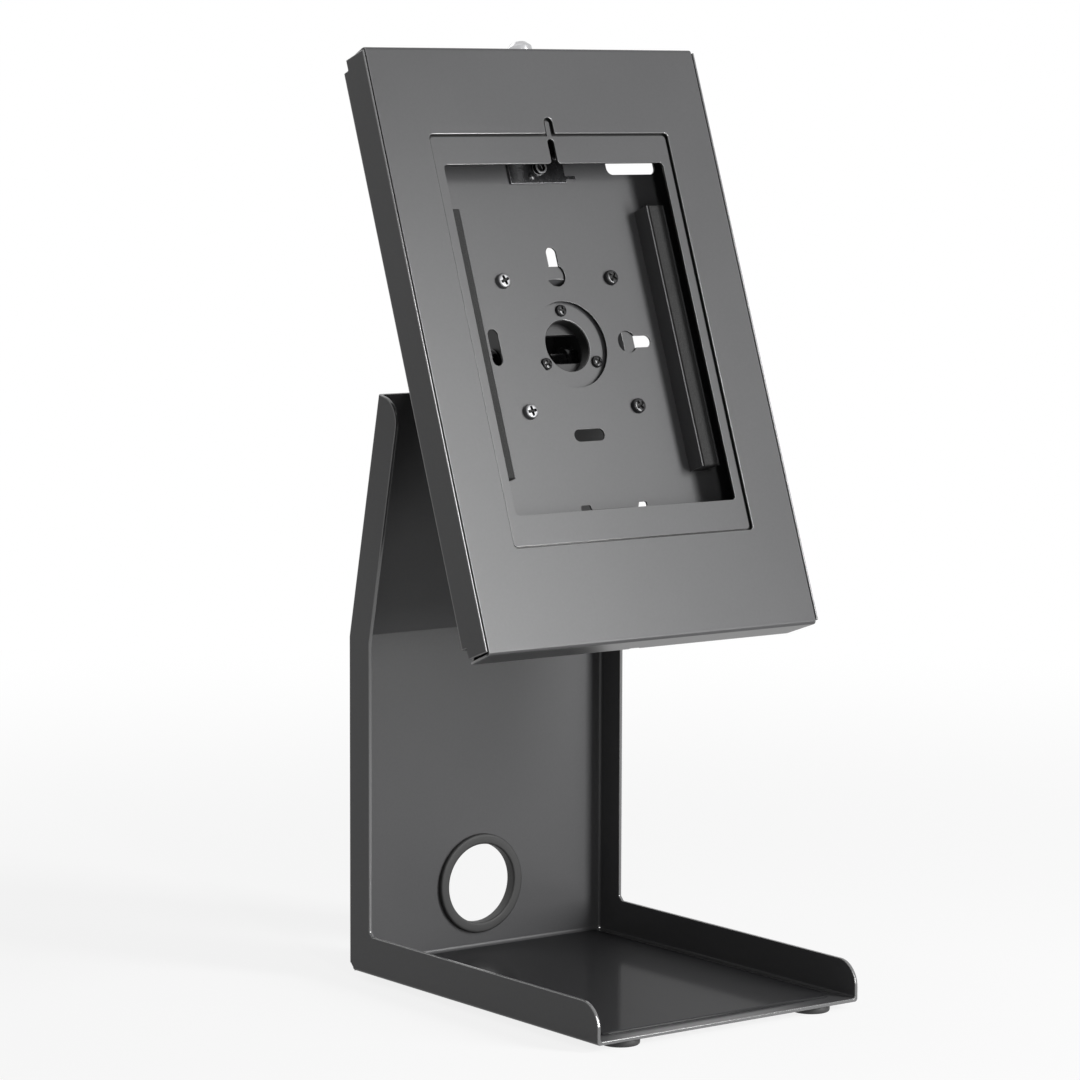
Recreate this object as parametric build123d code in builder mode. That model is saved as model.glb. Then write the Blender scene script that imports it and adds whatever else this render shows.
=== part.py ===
from build123d import *
import os
from math import cos, radians, sin, tan

# Point of sale tablet stand, in millimetres.
# The origin is on the desk under the middle of the stand, +Z up and -Y towards the user.

# Stand bracket, one folded steel sheet
stand_width = 180.0
tray_depth = 232.0
stand_sheet = 2.0
bend_height = 195.0
lean_angle = 12.0
lean_length = 141.5
back_flange = 20.5
tray_flange = 22.2
flange_corner_radius = 14.0
flange_notch = 2.5
floor_bend_radius = 4.5
side_bend_radius = 1.9
lean_bend_radius = 6.0
relief_radius = 3.2
inner_bend_radius = 1.5

# Feet, tray sheet and cable grommet
foot_height = 4.0
foot_radius = 10.75
foot_edge = 0.6
foot_inset_x = 24.0
foot_inset_y = 12.0
mat_thickness = 1.2
mat_side_margin = 7.0
mat_front_margin = 10.5
mat_back_margin = 2.5
mat_corner_radius = 7.0
mat_edge = 0.3
grommet_height = 43.8
grommet_bore_radius = 23.0
grommet_wall = 2.9
grommet_flange_radius = 29.0
grommet_flange = 2.75
grommet_edge = 1.1

# Place and lean of the enclosure
pivot_above_plate = 21.7
pivot_ahead = 23.5
rest_lean = 20.0
pivot_to_face = 54.0
swivel_above_middle = 4.0

# Tilt hinge
hinge_sheet = 3.0
base_half_width = 27.0
base_web_length = 53.0
base_cheek_depth = 12.0
base_end_radius = 17.5
base_bottom_gap = 3.5
base_reach = 184.0
hinge_corner_radius = 2.0
mount_screw_radius = 2.5
mount_screw_spacing = 30.0
mount_head_radius = 4.75
mount_head_height = 2.75
mount_head_edge = 1.3
mount_hex_width = 3.0
mount_hex_depth = 1.6
screw_end_spare = 1.0
mount_nut_width = 8.0
mount_nut_height = 4.0
pivot_bolt_radius = 4.0
pivot_head_width = 13.0
pivot_head_height = 5.3
pivot_nut_height = 6.5
pivot_bolt_spare = 1.5
pivot_washer_radius = 8.0
pivot_washer_thickness = 1.5
friction_washer_radius = 9.8
friction_washer_thickness = 0.95
yoke_end_radius = 18.0
yoke_half_height = 32.0
cable_opening_width = 40.0
cable_opening_height = 16.4
cable_opening_radius = 3.0
stop_radius = 12.75
stop_screw_radius = 2.0
stop_head_radius = 3.5
stop_head_height = 2.2
tilt_forward = 20.0
tilt_back = 35.0
stop_margin = 1.0
yoke_hole_clearance = 0.07

# Swivel
hub_bore_radius = 14.7
spigot_radius = 24.0
swivel_flange_radius = 30.0
hub_flange_thickness = 2.5
ring_thickness = 2.0
ring_edge = 0.5
bearing_washer_thickness = 0.45
bearing_washer_margin = 0.5
ring_screw_circle = 20.2
ring_screw_radius = 2.0
ring_head_radius = 3.5
ring_head_height = 2.2
ring_head_edge = 0.7

# Mounting plate between the swivel and the housing
plate_size = 91.0
plate_corner_radius = 4.0
plate_thickness = 2.0
dish_depth = 4.0
dish_radius = 38.2
dish_wall_run = 2.7
dish_wall_width = 2.2
dish_back_step = 0.5
plate_hole_spacing = 75.0
plate_screw_radius = 2.0
plate_head_radius = 4.4
plate_head_height = 2.8
plate_head_edge = 0.4
plate_screw_spare = 1.5

# Rear housing
housing_width = 230.0
housing_depth = 23.0
housing_sheet = 1.2
housing_bend_radius = 3.0
housing_lip_bend = 1.1
housing_lip_height = 11.0
housing_lip_inset = 10.0
housing_relief_length = 6.0
housing_relief_height = 6.0
housing_relief_width = 7.0
centre_hole_radius = 25.0
keyhole_radius = 6.5
keyhole_distance = 40.0
keyhole_slot_width = 7.0
keyhole_slot_reach = 13.0
plain_slot_length = 21.0
plain_slot_low = 52.4
plain_slot_left = 51.5
view_slot_left = 51.4
view_slot_bottom = 102.4
view_slot_width = 34.6
view_slot_height = 14.0
view_slot_radius = 4.0
cable_cutout_width = 46.0
cable_cutout_centre = 6.6
cable_cutout_top = -90.8
cable_cutout_height = 22.0
cable_cutout_lobe_width = 7.0
cable_cutout_lobe_height = 2.8
cable_cutout_radius = 1.2

# Pads and their rails
pad_outer = 77.0
pad_width = 12.5
pad_low = -73.0
pad_high = 80.0
rail_height = 11.8
rail_sheet = 1.0
foam_height = 12.5
foam_clearance = 0.1
foam_edge = 1.0

# Front cover
cover_length = 340.0
cover_sheet = 1.5
cover_side_gap = 0.7
cover_end_gap = 0.5
cover_bend_radius = 2.0
cover_flange_depth = 22.9
cover_flange_taper = 3.4
cover_taper_start = 3.0
window_width = 165.3
window_top = 119.6
window_bottom = -113.6
window_radius = 2.5
camera_notch_width = 6.0
camera_notch_rise = 9.4
camera_notch_mouth = 1.0
pry_notch_width = 7.0
pry_notch_depth = 1.5
lug_width = 14.0
lug_spacing = 140.0
lug_height = 6.0
lug_thickness = 1.5
lug_nose = 1.1
lug_from_panel = 2.8
lug_slot_width = 18.0
lug_slot_reach = 8.5
stud_radius = 1.5
stud_length = 6.0
stud_x = 92.0
stud_spacing = 200.0
stud_middle = 3.0

# Adapter frame behind the window
adapter_sheet = 1.5
adapter_half_width = 98.0
adapter_high = 138.0
adapter_low = -132.0
adapter_corner_radius = 6.0
adapter_window_width = 152.0
adapter_window_top = 102.6
adapter_window_bottom = -95.4
adapter_window_radius = 2.5
adapter_slot_width = 4.5
adapter_slot_top = 117.0
adapter_slot_mouth = 2.0
adapter_nut_width = 5.5
adapter_nut_height = 2.4

# Lock in the top flange of the cover
lock_behind_face = 12.0
lock_head_radius = 7.25
lock_head_height = 7.0
lock_head_chamfer = 2.8
lock_body_radius = 6.0
lock_body_length = 18.0
lock_nut_width = 15.0
lock_nut_height = 3.0
lock_notch_half_width = 14.0
plug_radius = 3.3
plug_recess = 0.25
keyway_width = 1.3
keyway_length = 5.0
keyway_depth = 6.0
cam_gap = 0.3
cam_thickness = 2.0
cam_hub_radius = 4.5
cam_tip_radius = 3.0
cam_reach = 6.0
cam_square = 4.4
cam_screw_radius = 1.5
cam_screw_length = 6.0
cam_head_radius = 2.75
cam_head_height = 1.8

# Lock bracket on the housing
bracket_left = -18.4
bracket_right = 20.0
bracket_bottom = 97.5
bracket_sheet = 1.5
bracket_top = 138.0
catch_low = 144.0
catch_high = 157.0
catch_inner = 5.0
catch_leg = 12.0
catch_clearance = 0.6
ear_right = 27.0
ear_low = 99.4
ear_high = 101.6
eye_radius = 3.8
eye_wall = 1.1
eye_height = 4.4
eye_x = 2.4
eye_v = 106.2
rivet_radius = 2.4
rivet_height = 1.0
rivet_edge = 0.4
rivet_spots = ((-3.2, 101.4), (15.5, 113.0), (-13.5, 118.0), (3.0, 133.0))

# Clearances
seat_clearance = 0.05
running_clearance = 0.05
hole_clearance = 0.25
free_clearance = 0.3
thread_clearance = 0.04
overshoot = 5.0
near = 0.01
bend_tolerance = 0.4

os.makedirs("parts", exist_ok=True)

# Places that follow from the sizes
back_y = (tray_depth - grommet_flange) / 2
front_y = back_y - tray_depth
floor_z = foot_height + stand_sheet
half_stand = stand_width / 2
lean = radians(lean_angle)
tilt = radians(rest_lean)
half_lean = tan(lean / 2)

across = Vector(1, 0, 0)
plate_origin = Vector(0, back_y, bend_height)
up_plate = Vector(0, -sin(lean), cos(lean))
lean_plane = Plane(origin=plate_origin, x_dir=across, z_dir=Vector(0, -cos(lean), -sin(lean)))
lean_side = Plane(origin=plate_origin, x_dir=up_plate, z_dir=across)

pivot_s = lean_length + pivot_above_plate
pivot_point = lean_plane.from_local_coords(Vector(0, pivot_s, pivot_ahead))
face_normal = Vector(0, -cos(tilt), sin(tilt))
face_up = Vector(0, sin(tilt), cos(tilt))
face_middle = pivot_point + face_normal * pivot_to_face - face_up * swivel_above_middle
face = Plane(origin=face_middle, x_dir=across, z_dir=face_normal)
face_side = Plane(origin=face_middle, x_dir=face_up, z_dir=across)
face_end = Plane(origin=face_middle, x_dir=across, z_dir=-face_up)
swivel_centre = face_middle + face_up * swivel_above_middle
swivel_face = Plane(origin=swivel_centre, x_dir=across, z_dir=face_normal)
swivel_section = Plane(origin=swivel_centre, x_dir=across, z_dir=-face_up)
swivel_axis = Axis(swivel_centre, face_normal)

panel_back = -housing_depth
panel_front = panel_back + housing_sheet
half_housing = housing_width / 2
cover_half_length = cover_length / 2
cover_half_width = half_housing - housing_sheet - cover_side_gap
panel_half_length = cover_half_length - cover_sheet - cover_end_gap

rim_front = panel_back
dish_floor_front = rim_front - dish_depth
dish_floor_back = dish_floor_front - plate_thickness
ring_back = dish_floor_front + bearing_washer_thickness + running_clearance
ring_front = ring_back + ring_thickness
hub_flange_front = dish_floor_back - bearing_washer_thickness - running_clearance
hub_back = hub_flange_front - hub_flange_thickness
yoke_web_back = hub_back - hinge_sheet
spigot_hole_radius = spigot_radius + running_clearance

base_inner = base_half_width - hinge_sheet
yoke_inner = base_half_width + friction_washer_thickness + running_clearance
yoke_outer = yoke_inner + hinge_sheet
bolt_head_seat = yoke_outer + running_clearance + pivot_washer_thickness
yoke_bolt_hole = pivot_bolt_radius + yoke_hole_clearance
web_top = lean_length - base_bottom_gap
web_bottom = web_top - base_web_length
web_middle = (web_top + web_bottom) / 2
web_front = stand_sheet + hinge_sheet

lock_plane = Plane(
    origin=face_middle + face_up * cover_half_length - face_normal * lock_behind_face,
    x_dir=across,
    z_dir=face_up,
)


def at_corner(shapes, x, y):
    """The corner of a flat outline that lies nearest to a point."""
    return shapes.sort_by_distance((x, y))[0]


# Stand bracket: the side outline is filled across the width, then hollowed from the front
with BuildPart() as stand_bracket:
    with BuildSketch(Plane.YZ.offset(-half_stand)):
        top_back = lean_side.from_local_coords(Vector(lean_length, 0, 0))
        top_front = lean_side.from_local_coords(Vector(lean_length, back_flange, 0))
        mitre = (back_y - back_flange, bend_height - back_flange * half_lean)
        inner_corner = (back_y - back_flange, foot_height + tray_flange)
        with BuildLine():
            Polyline(
                (front_y, foot_height),
                (back_y, foot_height),
                (back_y, bend_height),
                (top_back.Y, top_back.Z),
                (top_front.Y, top_front.Z),
                mitre,
                inner_corner,
                (front_y, foot_height + tray_flange),
                close=True,
            )
        make_face()
        fillet(at_corner(vertices(), top_front.Y, top_front.Z), radius=flange_corner_radius)
        fillet(at_corner(vertices(), front_y, foot_height + tray_flange), radius=flange_corner_radius)
        fillet(at_corner(vertices(), back_y, foot_height), radius=floor_bend_radius)
        fillet(at_corner(vertices(), back_y, bend_height), radius=lean_bend_radius)
        chamfer(at_corner(vertices(), *inner_corner), length=flange_notch)
    extrude(amount=stand_width)
    with BuildSketch(Plane.YZ.offset(-half_stand + stand_sheet)):
        inner_back = back_y - stand_sheet
        inner_bend = bend_height - stand_sheet * half_lean
        inner_top = lean_side.from_local_coords(Vector(lean_length + overshoot, stand_sheet, 0))
        with BuildLine():
            Polyline(
                (front_y - overshoot, floor_z),
                (inner_back, floor_z),
                (inner_back, inner_bend),
                (inner_top.Y, inner_top.Z),
                (front_y - overshoot, inner_top.Z),
                close=True,
            )
        make_face()
        fillet(at_corner(vertices(), inner_back, floor_z), radius=floor_bend_radius - stand_sheet)
        fillet(at_corner(vertices(), inner_back, inner_bend), radius=lean_bend_radius - stand_sheet)
    extrude(amount=stand_width - 2 * stand_sheet, mode=Mode.SUBTRACT)
    half_inside = half_stand - stand_sheet
    for x, depth, radius in (
        (half_stand, 0, side_bend_radius),
        (half_inside, stand_sheet, inner_bend_radius),
    ):
        side_edges = edges().filter_by(lambda e: abs(abs(e.center().X) - x) < near)
        bend_edges = side_edges.filter_by(
            lambda e: e.center().Z < foot_height + floor_bend_radius
            and abs(e.center().Y - front_y) > stand_sheet
            or e.center().Y > back_y - depth - near
            or lean_plane.to_local_coords(e.center()).Z < depth + bend_tolerance
            and e.center().Z > bend_height - lean_bend_radius
            and lean_plane.to_local_coords(e.center()).Y < lean_length - near
        )
        fillet(bend_edges, radius=radius)
    with Locations(
        (half_stand - stand_sheet / 2, back_y - stand_sheet / 2, foot_height + stand_sheet / 2),
        (-half_stand + stand_sheet / 2, back_y - stand_sheet / 2, foot_height + stand_sheet / 2),
    ):
        Sphere(relief_radius, mode=Mode.SUBTRACT)
    with BuildSketch(Plane.XZ.offset(-back_y)):
        with Locations((0, grommet_height)):
            Circle(grommet_bore_radius + grommet_wall + seat_clearance)
    extrude(amount=stand_sheet, mode=Mode.SUBTRACT)
    with BuildSketch(lean_plane):
        with Locations((0, web_middle)):
            with GridLocations(mount_screw_spacing, mount_screw_spacing, 2, 2):
                Circle(mount_screw_radius + hole_clearance)
    extrude(amount=stand_sheet, mode=Mode.SUBTRACT)
stand_bracket.part.label = "stand_bracket"

# Four low round feet under the tray
with BuildPart() as rubber_feet:
    foot_spacing_y = tray_depth - 2 * foot_inset_y
    with BuildSketch(Plane.XY):
        with Locations((0, (front_y + back_y) / 2)):
            with GridLocations(stand_width - 2 * foot_inset_x, foot_spacing_y, 2, 2):
                Circle(foot_radius)
    extrude(amount=foot_height)
    chamfer(edges().group_by(Axis.Z)[0], length=foot_edge)
rubber_feet.part.label = "rubber_feet"

# Thin sheet that lies on the tray floor
with BuildPart() as tray_mat:
    mat_front = front_y + mat_front_margin
    mat_back = back_y - floor_bend_radius - mat_back_margin
    with BuildSketch(Plane.XY.offset(floor_z)):
        with Locations((0, (mat_front + mat_back) / 2)):
            Rectangle(stand_width - 2 * (stand_sheet + mat_side_margin), mat_back - mat_front)
        fillet(vertices().group_by(Axis.Y)[0], radius=mat_corner_radius)
    extrude(amount=mat_thickness)
    chamfer(faces().sort_by(Axis.Z)[-1].edges(), length=mat_edge)
tray_mat.part.label = "tray_mat"

# Cable grommet: a neck through the back plate with a flange on each side
with BuildPart() as cable_grommet:
    grommet_section = Plane(
        origin=(0, back_y, grommet_height), x_dir=Vector(0, 1, 0), z_dir=across
    )
    with BuildSketch(grommet_section):
        neck_radius = grommet_bore_radius + grommet_wall
        flange_width = grommet_flange_radius - grommet_bore_radius
        flange_middle = (grommet_flange_radius + grommet_bore_radius) / 2
        with Locations((-stand_sheet - grommet_flange / 2, flange_middle)):
            Rectangle(grommet_flange, flange_width)
        with Locations((grommet_flange / 2, flange_middle)):
            Rectangle(grommet_flange, flange_width)
        with Locations((-stand_sheet / 2, (neck_radius + grommet_bore_radius) / 2)):
            Rectangle(stand_sheet, neck_radius - grommet_bore_radius)
        front_edge = -stand_sheet - grommet_flange
        chamfer(at_corner(vertices(), front_edge, grommet_flange_radius), length=grommet_edge)
        chamfer(at_corner(vertices(), front_edge, grommet_bore_radius), length=grommet_edge)
        chamfer(at_corner(vertices(), grommet_flange, grommet_flange_radius), length=grommet_edge)
        chamfer(at_corner(vertices(), grommet_flange, grommet_bore_radius), length=grommet_edge)
    revolve(axis=Axis((0, back_y, grommet_height), (0, 1, 0)))
cable_grommet.part.label = "cable_grommet"

# Hinge base: a folded channel on the leaning plate with two cheeks up to the pivot
with BuildPart() as hinge_base_bracket:
    with BuildSketch(lean_side.offset(-base_half_width)):
        with Locations((pivot_s, pivot_ahead)):
            Circle(base_end_radius)
        with Locations((web_middle, stand_sheet + base_cheek_depth / 2)):
            Rectangle(base_web_length, base_cheek_depth)
        with Locations(((web_bottom + base_reach) / 2, stand_sheet + hinge_sheet / 2)):
            Rectangle(base_reach - web_bottom, hinge_sheet)
        make_hull()
    extrude(amount=2 * base_half_width)
    with BuildSketch(lean_side.offset(-base_inner)):
        channel_length = base_reach - web_bottom + 2 * overshoot
        channel_depth = pivot_ahead + base_end_radius
        with Locations(((web_bottom + base_reach) / 2, web_front + channel_depth / 2)):
            Rectangle(channel_length, channel_depth)
    extrude(amount=2 * base_inner, mode=Mode.SUBTRACT)
    web_edges = edges().filter_by(
        lambda e: abs(abs(e.center().X) - base_half_width) < near
        and abs(lean_plane.to_local_coords(e.center()).Z - stand_sheet) < near
    )
    fillet(web_edges, radius=hinge_corner_radius)
    with BuildSketch(lean_side.offset(-base_half_width)):
        with Locations((pivot_s, pivot_ahead)):
            Circle(pivot_bolt_radius + seat_clearance)
        with Locations((pivot_s - stop_radius, pivot_ahead)):
            Circle(stop_screw_radius + thread_clearance)
    extrude(amount=2 * base_half_width, mode=Mode.SUBTRACT)
    with BuildSketch(lean_plane.offset(stand_sheet)):
        with Locations((0, web_middle)):
            with GridLocations(mount_screw_spacing, mount_screw_spacing, 2, 2):
                Circle(mount_screw_radius + hole_clearance)
    extrude(amount=hinge_sheet, mode=Mode.SUBTRACT)
hinge_base_bracket.part.label = "hinge_base_bracket"

# Button-head screws through the leaning plate and the hinge base
with BuildPart() as hinge_mount_screws:
    with BuildSketch(lean_plane):
        with Locations((0, web_middle)):
            with GridLocations(mount_screw_spacing, mount_screw_spacing, 2, 2):
                Circle(mount_head_radius)
    extrude(amount=-mount_head_height)
    button_rims = edges().filter_by(
        lambda e: lean_plane.to_local_coords(e.center()).Z < -mount_head_height + near
    )
    chamfer(button_rims, length=mount_head_edge)
    with BuildSketch(lean_plane):
        with Locations((0, web_middle)):
            with GridLocations(mount_screw_spacing, mount_screw_spacing, 2, 2):
                Circle(mount_screw_radius)
    extrude(amount=web_front + mount_nut_height + screw_end_spare)
    with BuildSketch(lean_plane.offset(-mount_head_height)):
        with Locations((0, web_middle)):
            with GridLocations(mount_screw_spacing, mount_screw_spacing, 2, 2):
                RegularPolygon(mount_hex_width / 2, 6, major_radius=False)
    extrude(amount=mount_hex_depth, mode=Mode.SUBTRACT)
hinge_mount_screws.part.label = "hinge_mount_screws"

with BuildPart() as hinge_mount_nuts:
    with BuildSketch(lean_plane.offset(web_front)):
        with Locations((0, web_middle)):
            with GridLocations(mount_screw_spacing, mount_screw_spacing, 2, 2):
                RegularPolygon(mount_nut_width / 2, 6, major_radius=False)
                Circle(mount_screw_radius + thread_clearance, mode=Mode.SUBTRACT)
    extrude(amount=mount_nut_height)
hinge_mount_nuts.part.label = "hinge_mount_nuts"

# Pivot bolts, one through each pair of cheeks, with the head outside
pivot_shank_end = base_inner - pivot_nut_height - pivot_bolt_spare
with BuildPart() as pivot_bolts:
    for side in (-1, 1):
        with BuildSketch(lean_side.offset(side * bolt_head_seat)):
            with Locations((pivot_s, pivot_ahead)):
                RegularPolygon(pivot_head_width / 2, 6, major_radius=False)
        extrude(amount=side * pivot_head_height)
        with BuildSketch(lean_side.offset(side * bolt_head_seat)):
            with Locations((pivot_s, pivot_ahead)):
                Circle(pivot_bolt_radius)
        extrude(amount=-side * (bolt_head_seat - pivot_shank_end))
pivot_bolts.part.label = "pivot_bolts"

with BuildPart() as pivot_nuts:
    for side in (-1, 1):
        with BuildSketch(lean_side.offset(side * base_inner)):
            with Locations((pivot_s, pivot_ahead)):
                RegularPolygon(pivot_head_width / 2, 6, major_radius=False)
                Circle(pivot_bolt_radius + thread_clearance, mode=Mode.SUBTRACT)
        extrude(amount=-side * pivot_nut_height)
pivot_nuts.part.label = "pivot_nuts"

with BuildPart() as pivot_washers:
    for side in (-1, 1):
        with BuildSketch(lean_side.offset(side * bolt_head_seat)):
            with Locations((pivot_s, pivot_ahead)):
                Circle(pivot_washer_radius)
                Circle(pivot_bolt_radius + seat_clearance, mode=Mode.SUBTRACT)
        extrude(amount=-side * pivot_washer_thickness)
pivot_washers.part.label = "pivot_washers"

with BuildPart() as tilt_friction_washers:
    for side in (-1, 1):
        with BuildSketch(lean_side.offset(side * base_half_width)):
            with Locations((pivot_s, pivot_ahead)):
                Circle(friction_washer_radius)
                Circle(pivot_bolt_radius + seat_clearance, mode=Mode.SUBTRACT)
        extrude(amount=side * friction_washer_thickness)
tilt_friction_washers.part.label = "tilt_friction_washers"

# Stop screws stand in the hinge base and run in the arc slots of the yoke
with BuildPart() as stop_screws:
    stop_head_seat = yoke_outer + free_clearance
    for side in (-1, 1):
        with BuildSketch(lean_side.offset(side * stop_head_seat)):
            with Locations((pivot_s - stop_radius, pivot_ahead)):
                Circle(stop_head_radius)
        extrude(amount=side * stop_head_height)
        with BuildSketch(lean_side.offset(side * stop_head_seat)):
            with Locations((pivot_s - stop_radius, pivot_ahead)):
                Circle(stop_screw_radius)
        extrude(amount=-side * (stop_head_seat - base_inner + screw_end_spare))
stop_screws.part.label = "stop_screws"

# Tilt yoke: a folded channel whose web carries the swivel and whose cheeks turn on the bolts
with BuildPart() as tilt_yoke:
    yoke_web_middle = (hub_back + yoke_web_back) / 2
    with BuildSketch(face_side.offset(-yoke_outer)):
        with Locations((swivel_above_middle, -pivot_to_face)):
            Circle(yoke_end_radius)
        with Locations((swivel_above_middle, yoke_web_middle)):
            Rectangle(2 * yoke_half_height, hinge_sheet)
        make_hull()
    extrude(amount=2 * yoke_outer)
    yoke_web_edges = edges().filter_by(
        lambda e: abs(abs(e.center().X) - yoke_outer) < near
        and abs(face.to_local_coords(e.center()).Z - hub_back) < near
    )
    fillet(yoke_web_edges, radius=hinge_corner_radius)
    with BuildSketch(face_side.offset(-yoke_inner)):
        with Locations((swivel_above_middle, yoke_web_back - pivot_to_face / 2)):
            Rectangle(2 * (yoke_half_height + yoke_end_radius), pivot_to_face)
    extrude(amount=2 * yoke_inner, mode=Mode.SUBTRACT)
    with BuildSketch(face_side.offset(-yoke_outer)):
        with Locations((swivel_above_middle, -pivot_to_face)):
            Circle(yoke_bolt_hole)
    extrude(amount=2 * yoke_outer, mode=Mode.SUBTRACT)
    stop_at_rest = 180 + rest_lean + lean_angle
    slot_start = stop_at_rest - tilt_forward - stop_margin
    slot_sweep = tilt_forward + tilt_back + 2 * stop_margin
    slot_end = slot_start + slot_sweep
    slot_half_width = stop_screw_radius + free_clearance
    slot_centre = Vector(swivel_above_middle, -pivot_to_face)
    with BuildSketch(face_side.offset(-yoke_outer)):
        with BuildLine():
            CenterArc(slot_centre, stop_radius + slot_half_width, slot_start, slot_sweep)
            CenterArc(slot_centre, stop_radius - slot_half_width, slot_start, slot_sweep)
            for angle, turn in ((slot_start, 180), (slot_end, 0)):
                outward = Vector(cos(radians(angle)), sin(radians(angle)))
                slot_tip = slot_centre + outward * stop_radius
                CenterArc(slot_tip, slot_half_width, angle + turn, 180)
        make_face()
    extrude(amount=2 * yoke_outer, mode=Mode.SUBTRACT)
    with BuildSketch(swivel_face.offset(yoke_web_back)):
        RectangleRounded(cable_opening_width, cable_opening_height, cable_opening_radius)
        with PolarLocations(ring_screw_circle, 3, start_angle=90):
            Circle(ring_screw_radius + thread_clearance)
    extrude(amount=hinge_sheet, mode=Mode.SUBTRACT)
tilt_yoke.part.label = "tilt_yoke"

# Swivel hub: a spigot for the mounting plate on a flange against the yoke
with BuildPart() as swivel_hub:
    with BuildSketch(swivel_face.offset(hub_back)):
        Circle(swivel_flange_radius)
    extrude(amount=hub_flange_thickness)
    with BuildSketch(swivel_face.offset(hub_flange_front)):
        Circle(spigot_radius)
    extrude(amount=ring_back - hub_flange_front)
    with BuildSketch(swivel_face.offset(hub_back)):
        Circle(hub_bore_radius)
        with PolarLocations(ring_screw_circle, 3, start_angle=90):
            Circle(ring_screw_radius + thread_clearance)
    extrude(amount=ring_back - hub_back, mode=Mode.SUBTRACT)
swivel_hub.part.label = "swivel_hub"

# Bearing washers on each side of the floor of the dished plate
with BuildPart() as front_bearing_washer:
    with BuildSketch(swivel_face.offset(ring_back)):
        Circle(swivel_flange_radius - bearing_washer_margin)
        Circle(spigot_hole_radius, mode=Mode.SUBTRACT)
    extrude(amount=-bearing_washer_thickness)
front_bearing_washer.part.label = "front_bearing_washer"

with BuildPart() as rear_bearing_washer:
    with BuildSketch(swivel_face.offset(hub_flange_front)):
        Circle(swivel_flange_radius - bearing_washer_margin)
        Circle(spigot_hole_radius, mode=Mode.SUBTRACT)
    extrude(amount=bearing_washer_thickness)
rear_bearing_washer.part.label = "rear_bearing_washer"

# Retaining ring in the dish, held by three pan-head screws
with BuildPart() as retaining_ring:
    with BuildSketch(swivel_face.offset(ring_back)):
        Circle(swivel_flange_radius)
        Circle(hub_bore_radius, mode=Mode.SUBTRACT)
        with PolarLocations(ring_screw_circle, 3, start_angle=90):
            Circle(ring_screw_radius + hole_clearance, mode=Mode.SUBTRACT)
    extrude(amount=ring_thickness)
    ring_front_edges = edges().filter_by(
        lambda e: abs(face.to_local_coords(e.center()).Z - ring_front) < near
        and e.length > 2 * ring_screw_circle
    )
    chamfer(ring_front_edges, length=ring_edge)
retaining_ring.part.label = "retaining_ring"

with BuildPart() as ring_screws:
    with BuildSketch(swivel_face.offset(ring_front)):
        with PolarLocations(ring_screw_circle, 3, start_angle=90):
            Circle(ring_head_radius)
    extrude(amount=ring_head_height)
    head_tops = edges().filter_by(
        lambda e: face.to_local_coords(e.center()).Z > ring_front + ring_head_height - near
    )
    chamfer(head_tops, length=ring_head_edge)
    with BuildSketch(swivel_face.offset(ring_front)):
        with PolarLocations(ring_screw_circle, 3, start_angle=90):
            Circle(ring_screw_radius)
    extrude(amount=yoke_web_back - ring_front - screw_end_spare)
ring_screws.part.label = "ring_screws"

# Mounting plate: a square plate whose middle is pressed into a flat-bottomed dish
with BuildPart() as vesa_plate:
    with BuildSketch(swivel_face.offset(rim_front - plate_thickness)):
        RectangleRounded(plate_size, plate_size, plate_corner_radius)
        Circle(dish_radius, mode=Mode.SUBTRACT)
        with GridLocations(plate_hole_spacing, plate_hole_spacing, 2, 2):
            Circle(plate_screw_radius + thread_clearance, mode=Mode.SUBTRACT)
    extrude(amount=plate_thickness)
    with BuildSketch(swivel_section):
        dish_foot_radius = dish_radius - dish_wall_run
        with BuildLine():
            Polyline(
                (dish_radius, rim_front),
                (dish_foot_radius, dish_floor_front),
                (spigot_hole_radius, dish_floor_front),
                (spigot_hole_radius, dish_floor_back),
                (dish_foot_radius + dish_back_step, dish_floor_back),
                (dish_radius + dish_wall_width, rim_front - plate_thickness),
                (dish_radius + dish_wall_width, rim_front),
                close=True,
            )
        make_face()
    revolve(axis=swivel_axis)
vesa_plate.part.label = "vesa_plate"

with BuildPart() as vesa_screws:
    with BuildSketch(swivel_face.offset(panel_front)):
        with GridLocations(plate_hole_spacing, plate_hole_spacing, 2, 2):
            Circle(plate_head_radius)
    extrude(amount=plate_head_height)
    plate_head_tops = edges().filter_by(
        lambda e: face.to_local_coords(e.center()).Z > panel_front + plate_head_height - near
    )
    chamfer(plate_head_tops, length=plate_head_edge)
    with BuildSketch(swivel_face.offset(panel_front)):
        with GridLocations(plate_hole_spacing, plate_hole_spacing, 2, 2):
            Circle(plate_screw_radius)
    extrude(amount=-housing_sheet - plate_thickness - plate_screw_spare)
vesa_screws.part.label = "vesa_screws"

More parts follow.
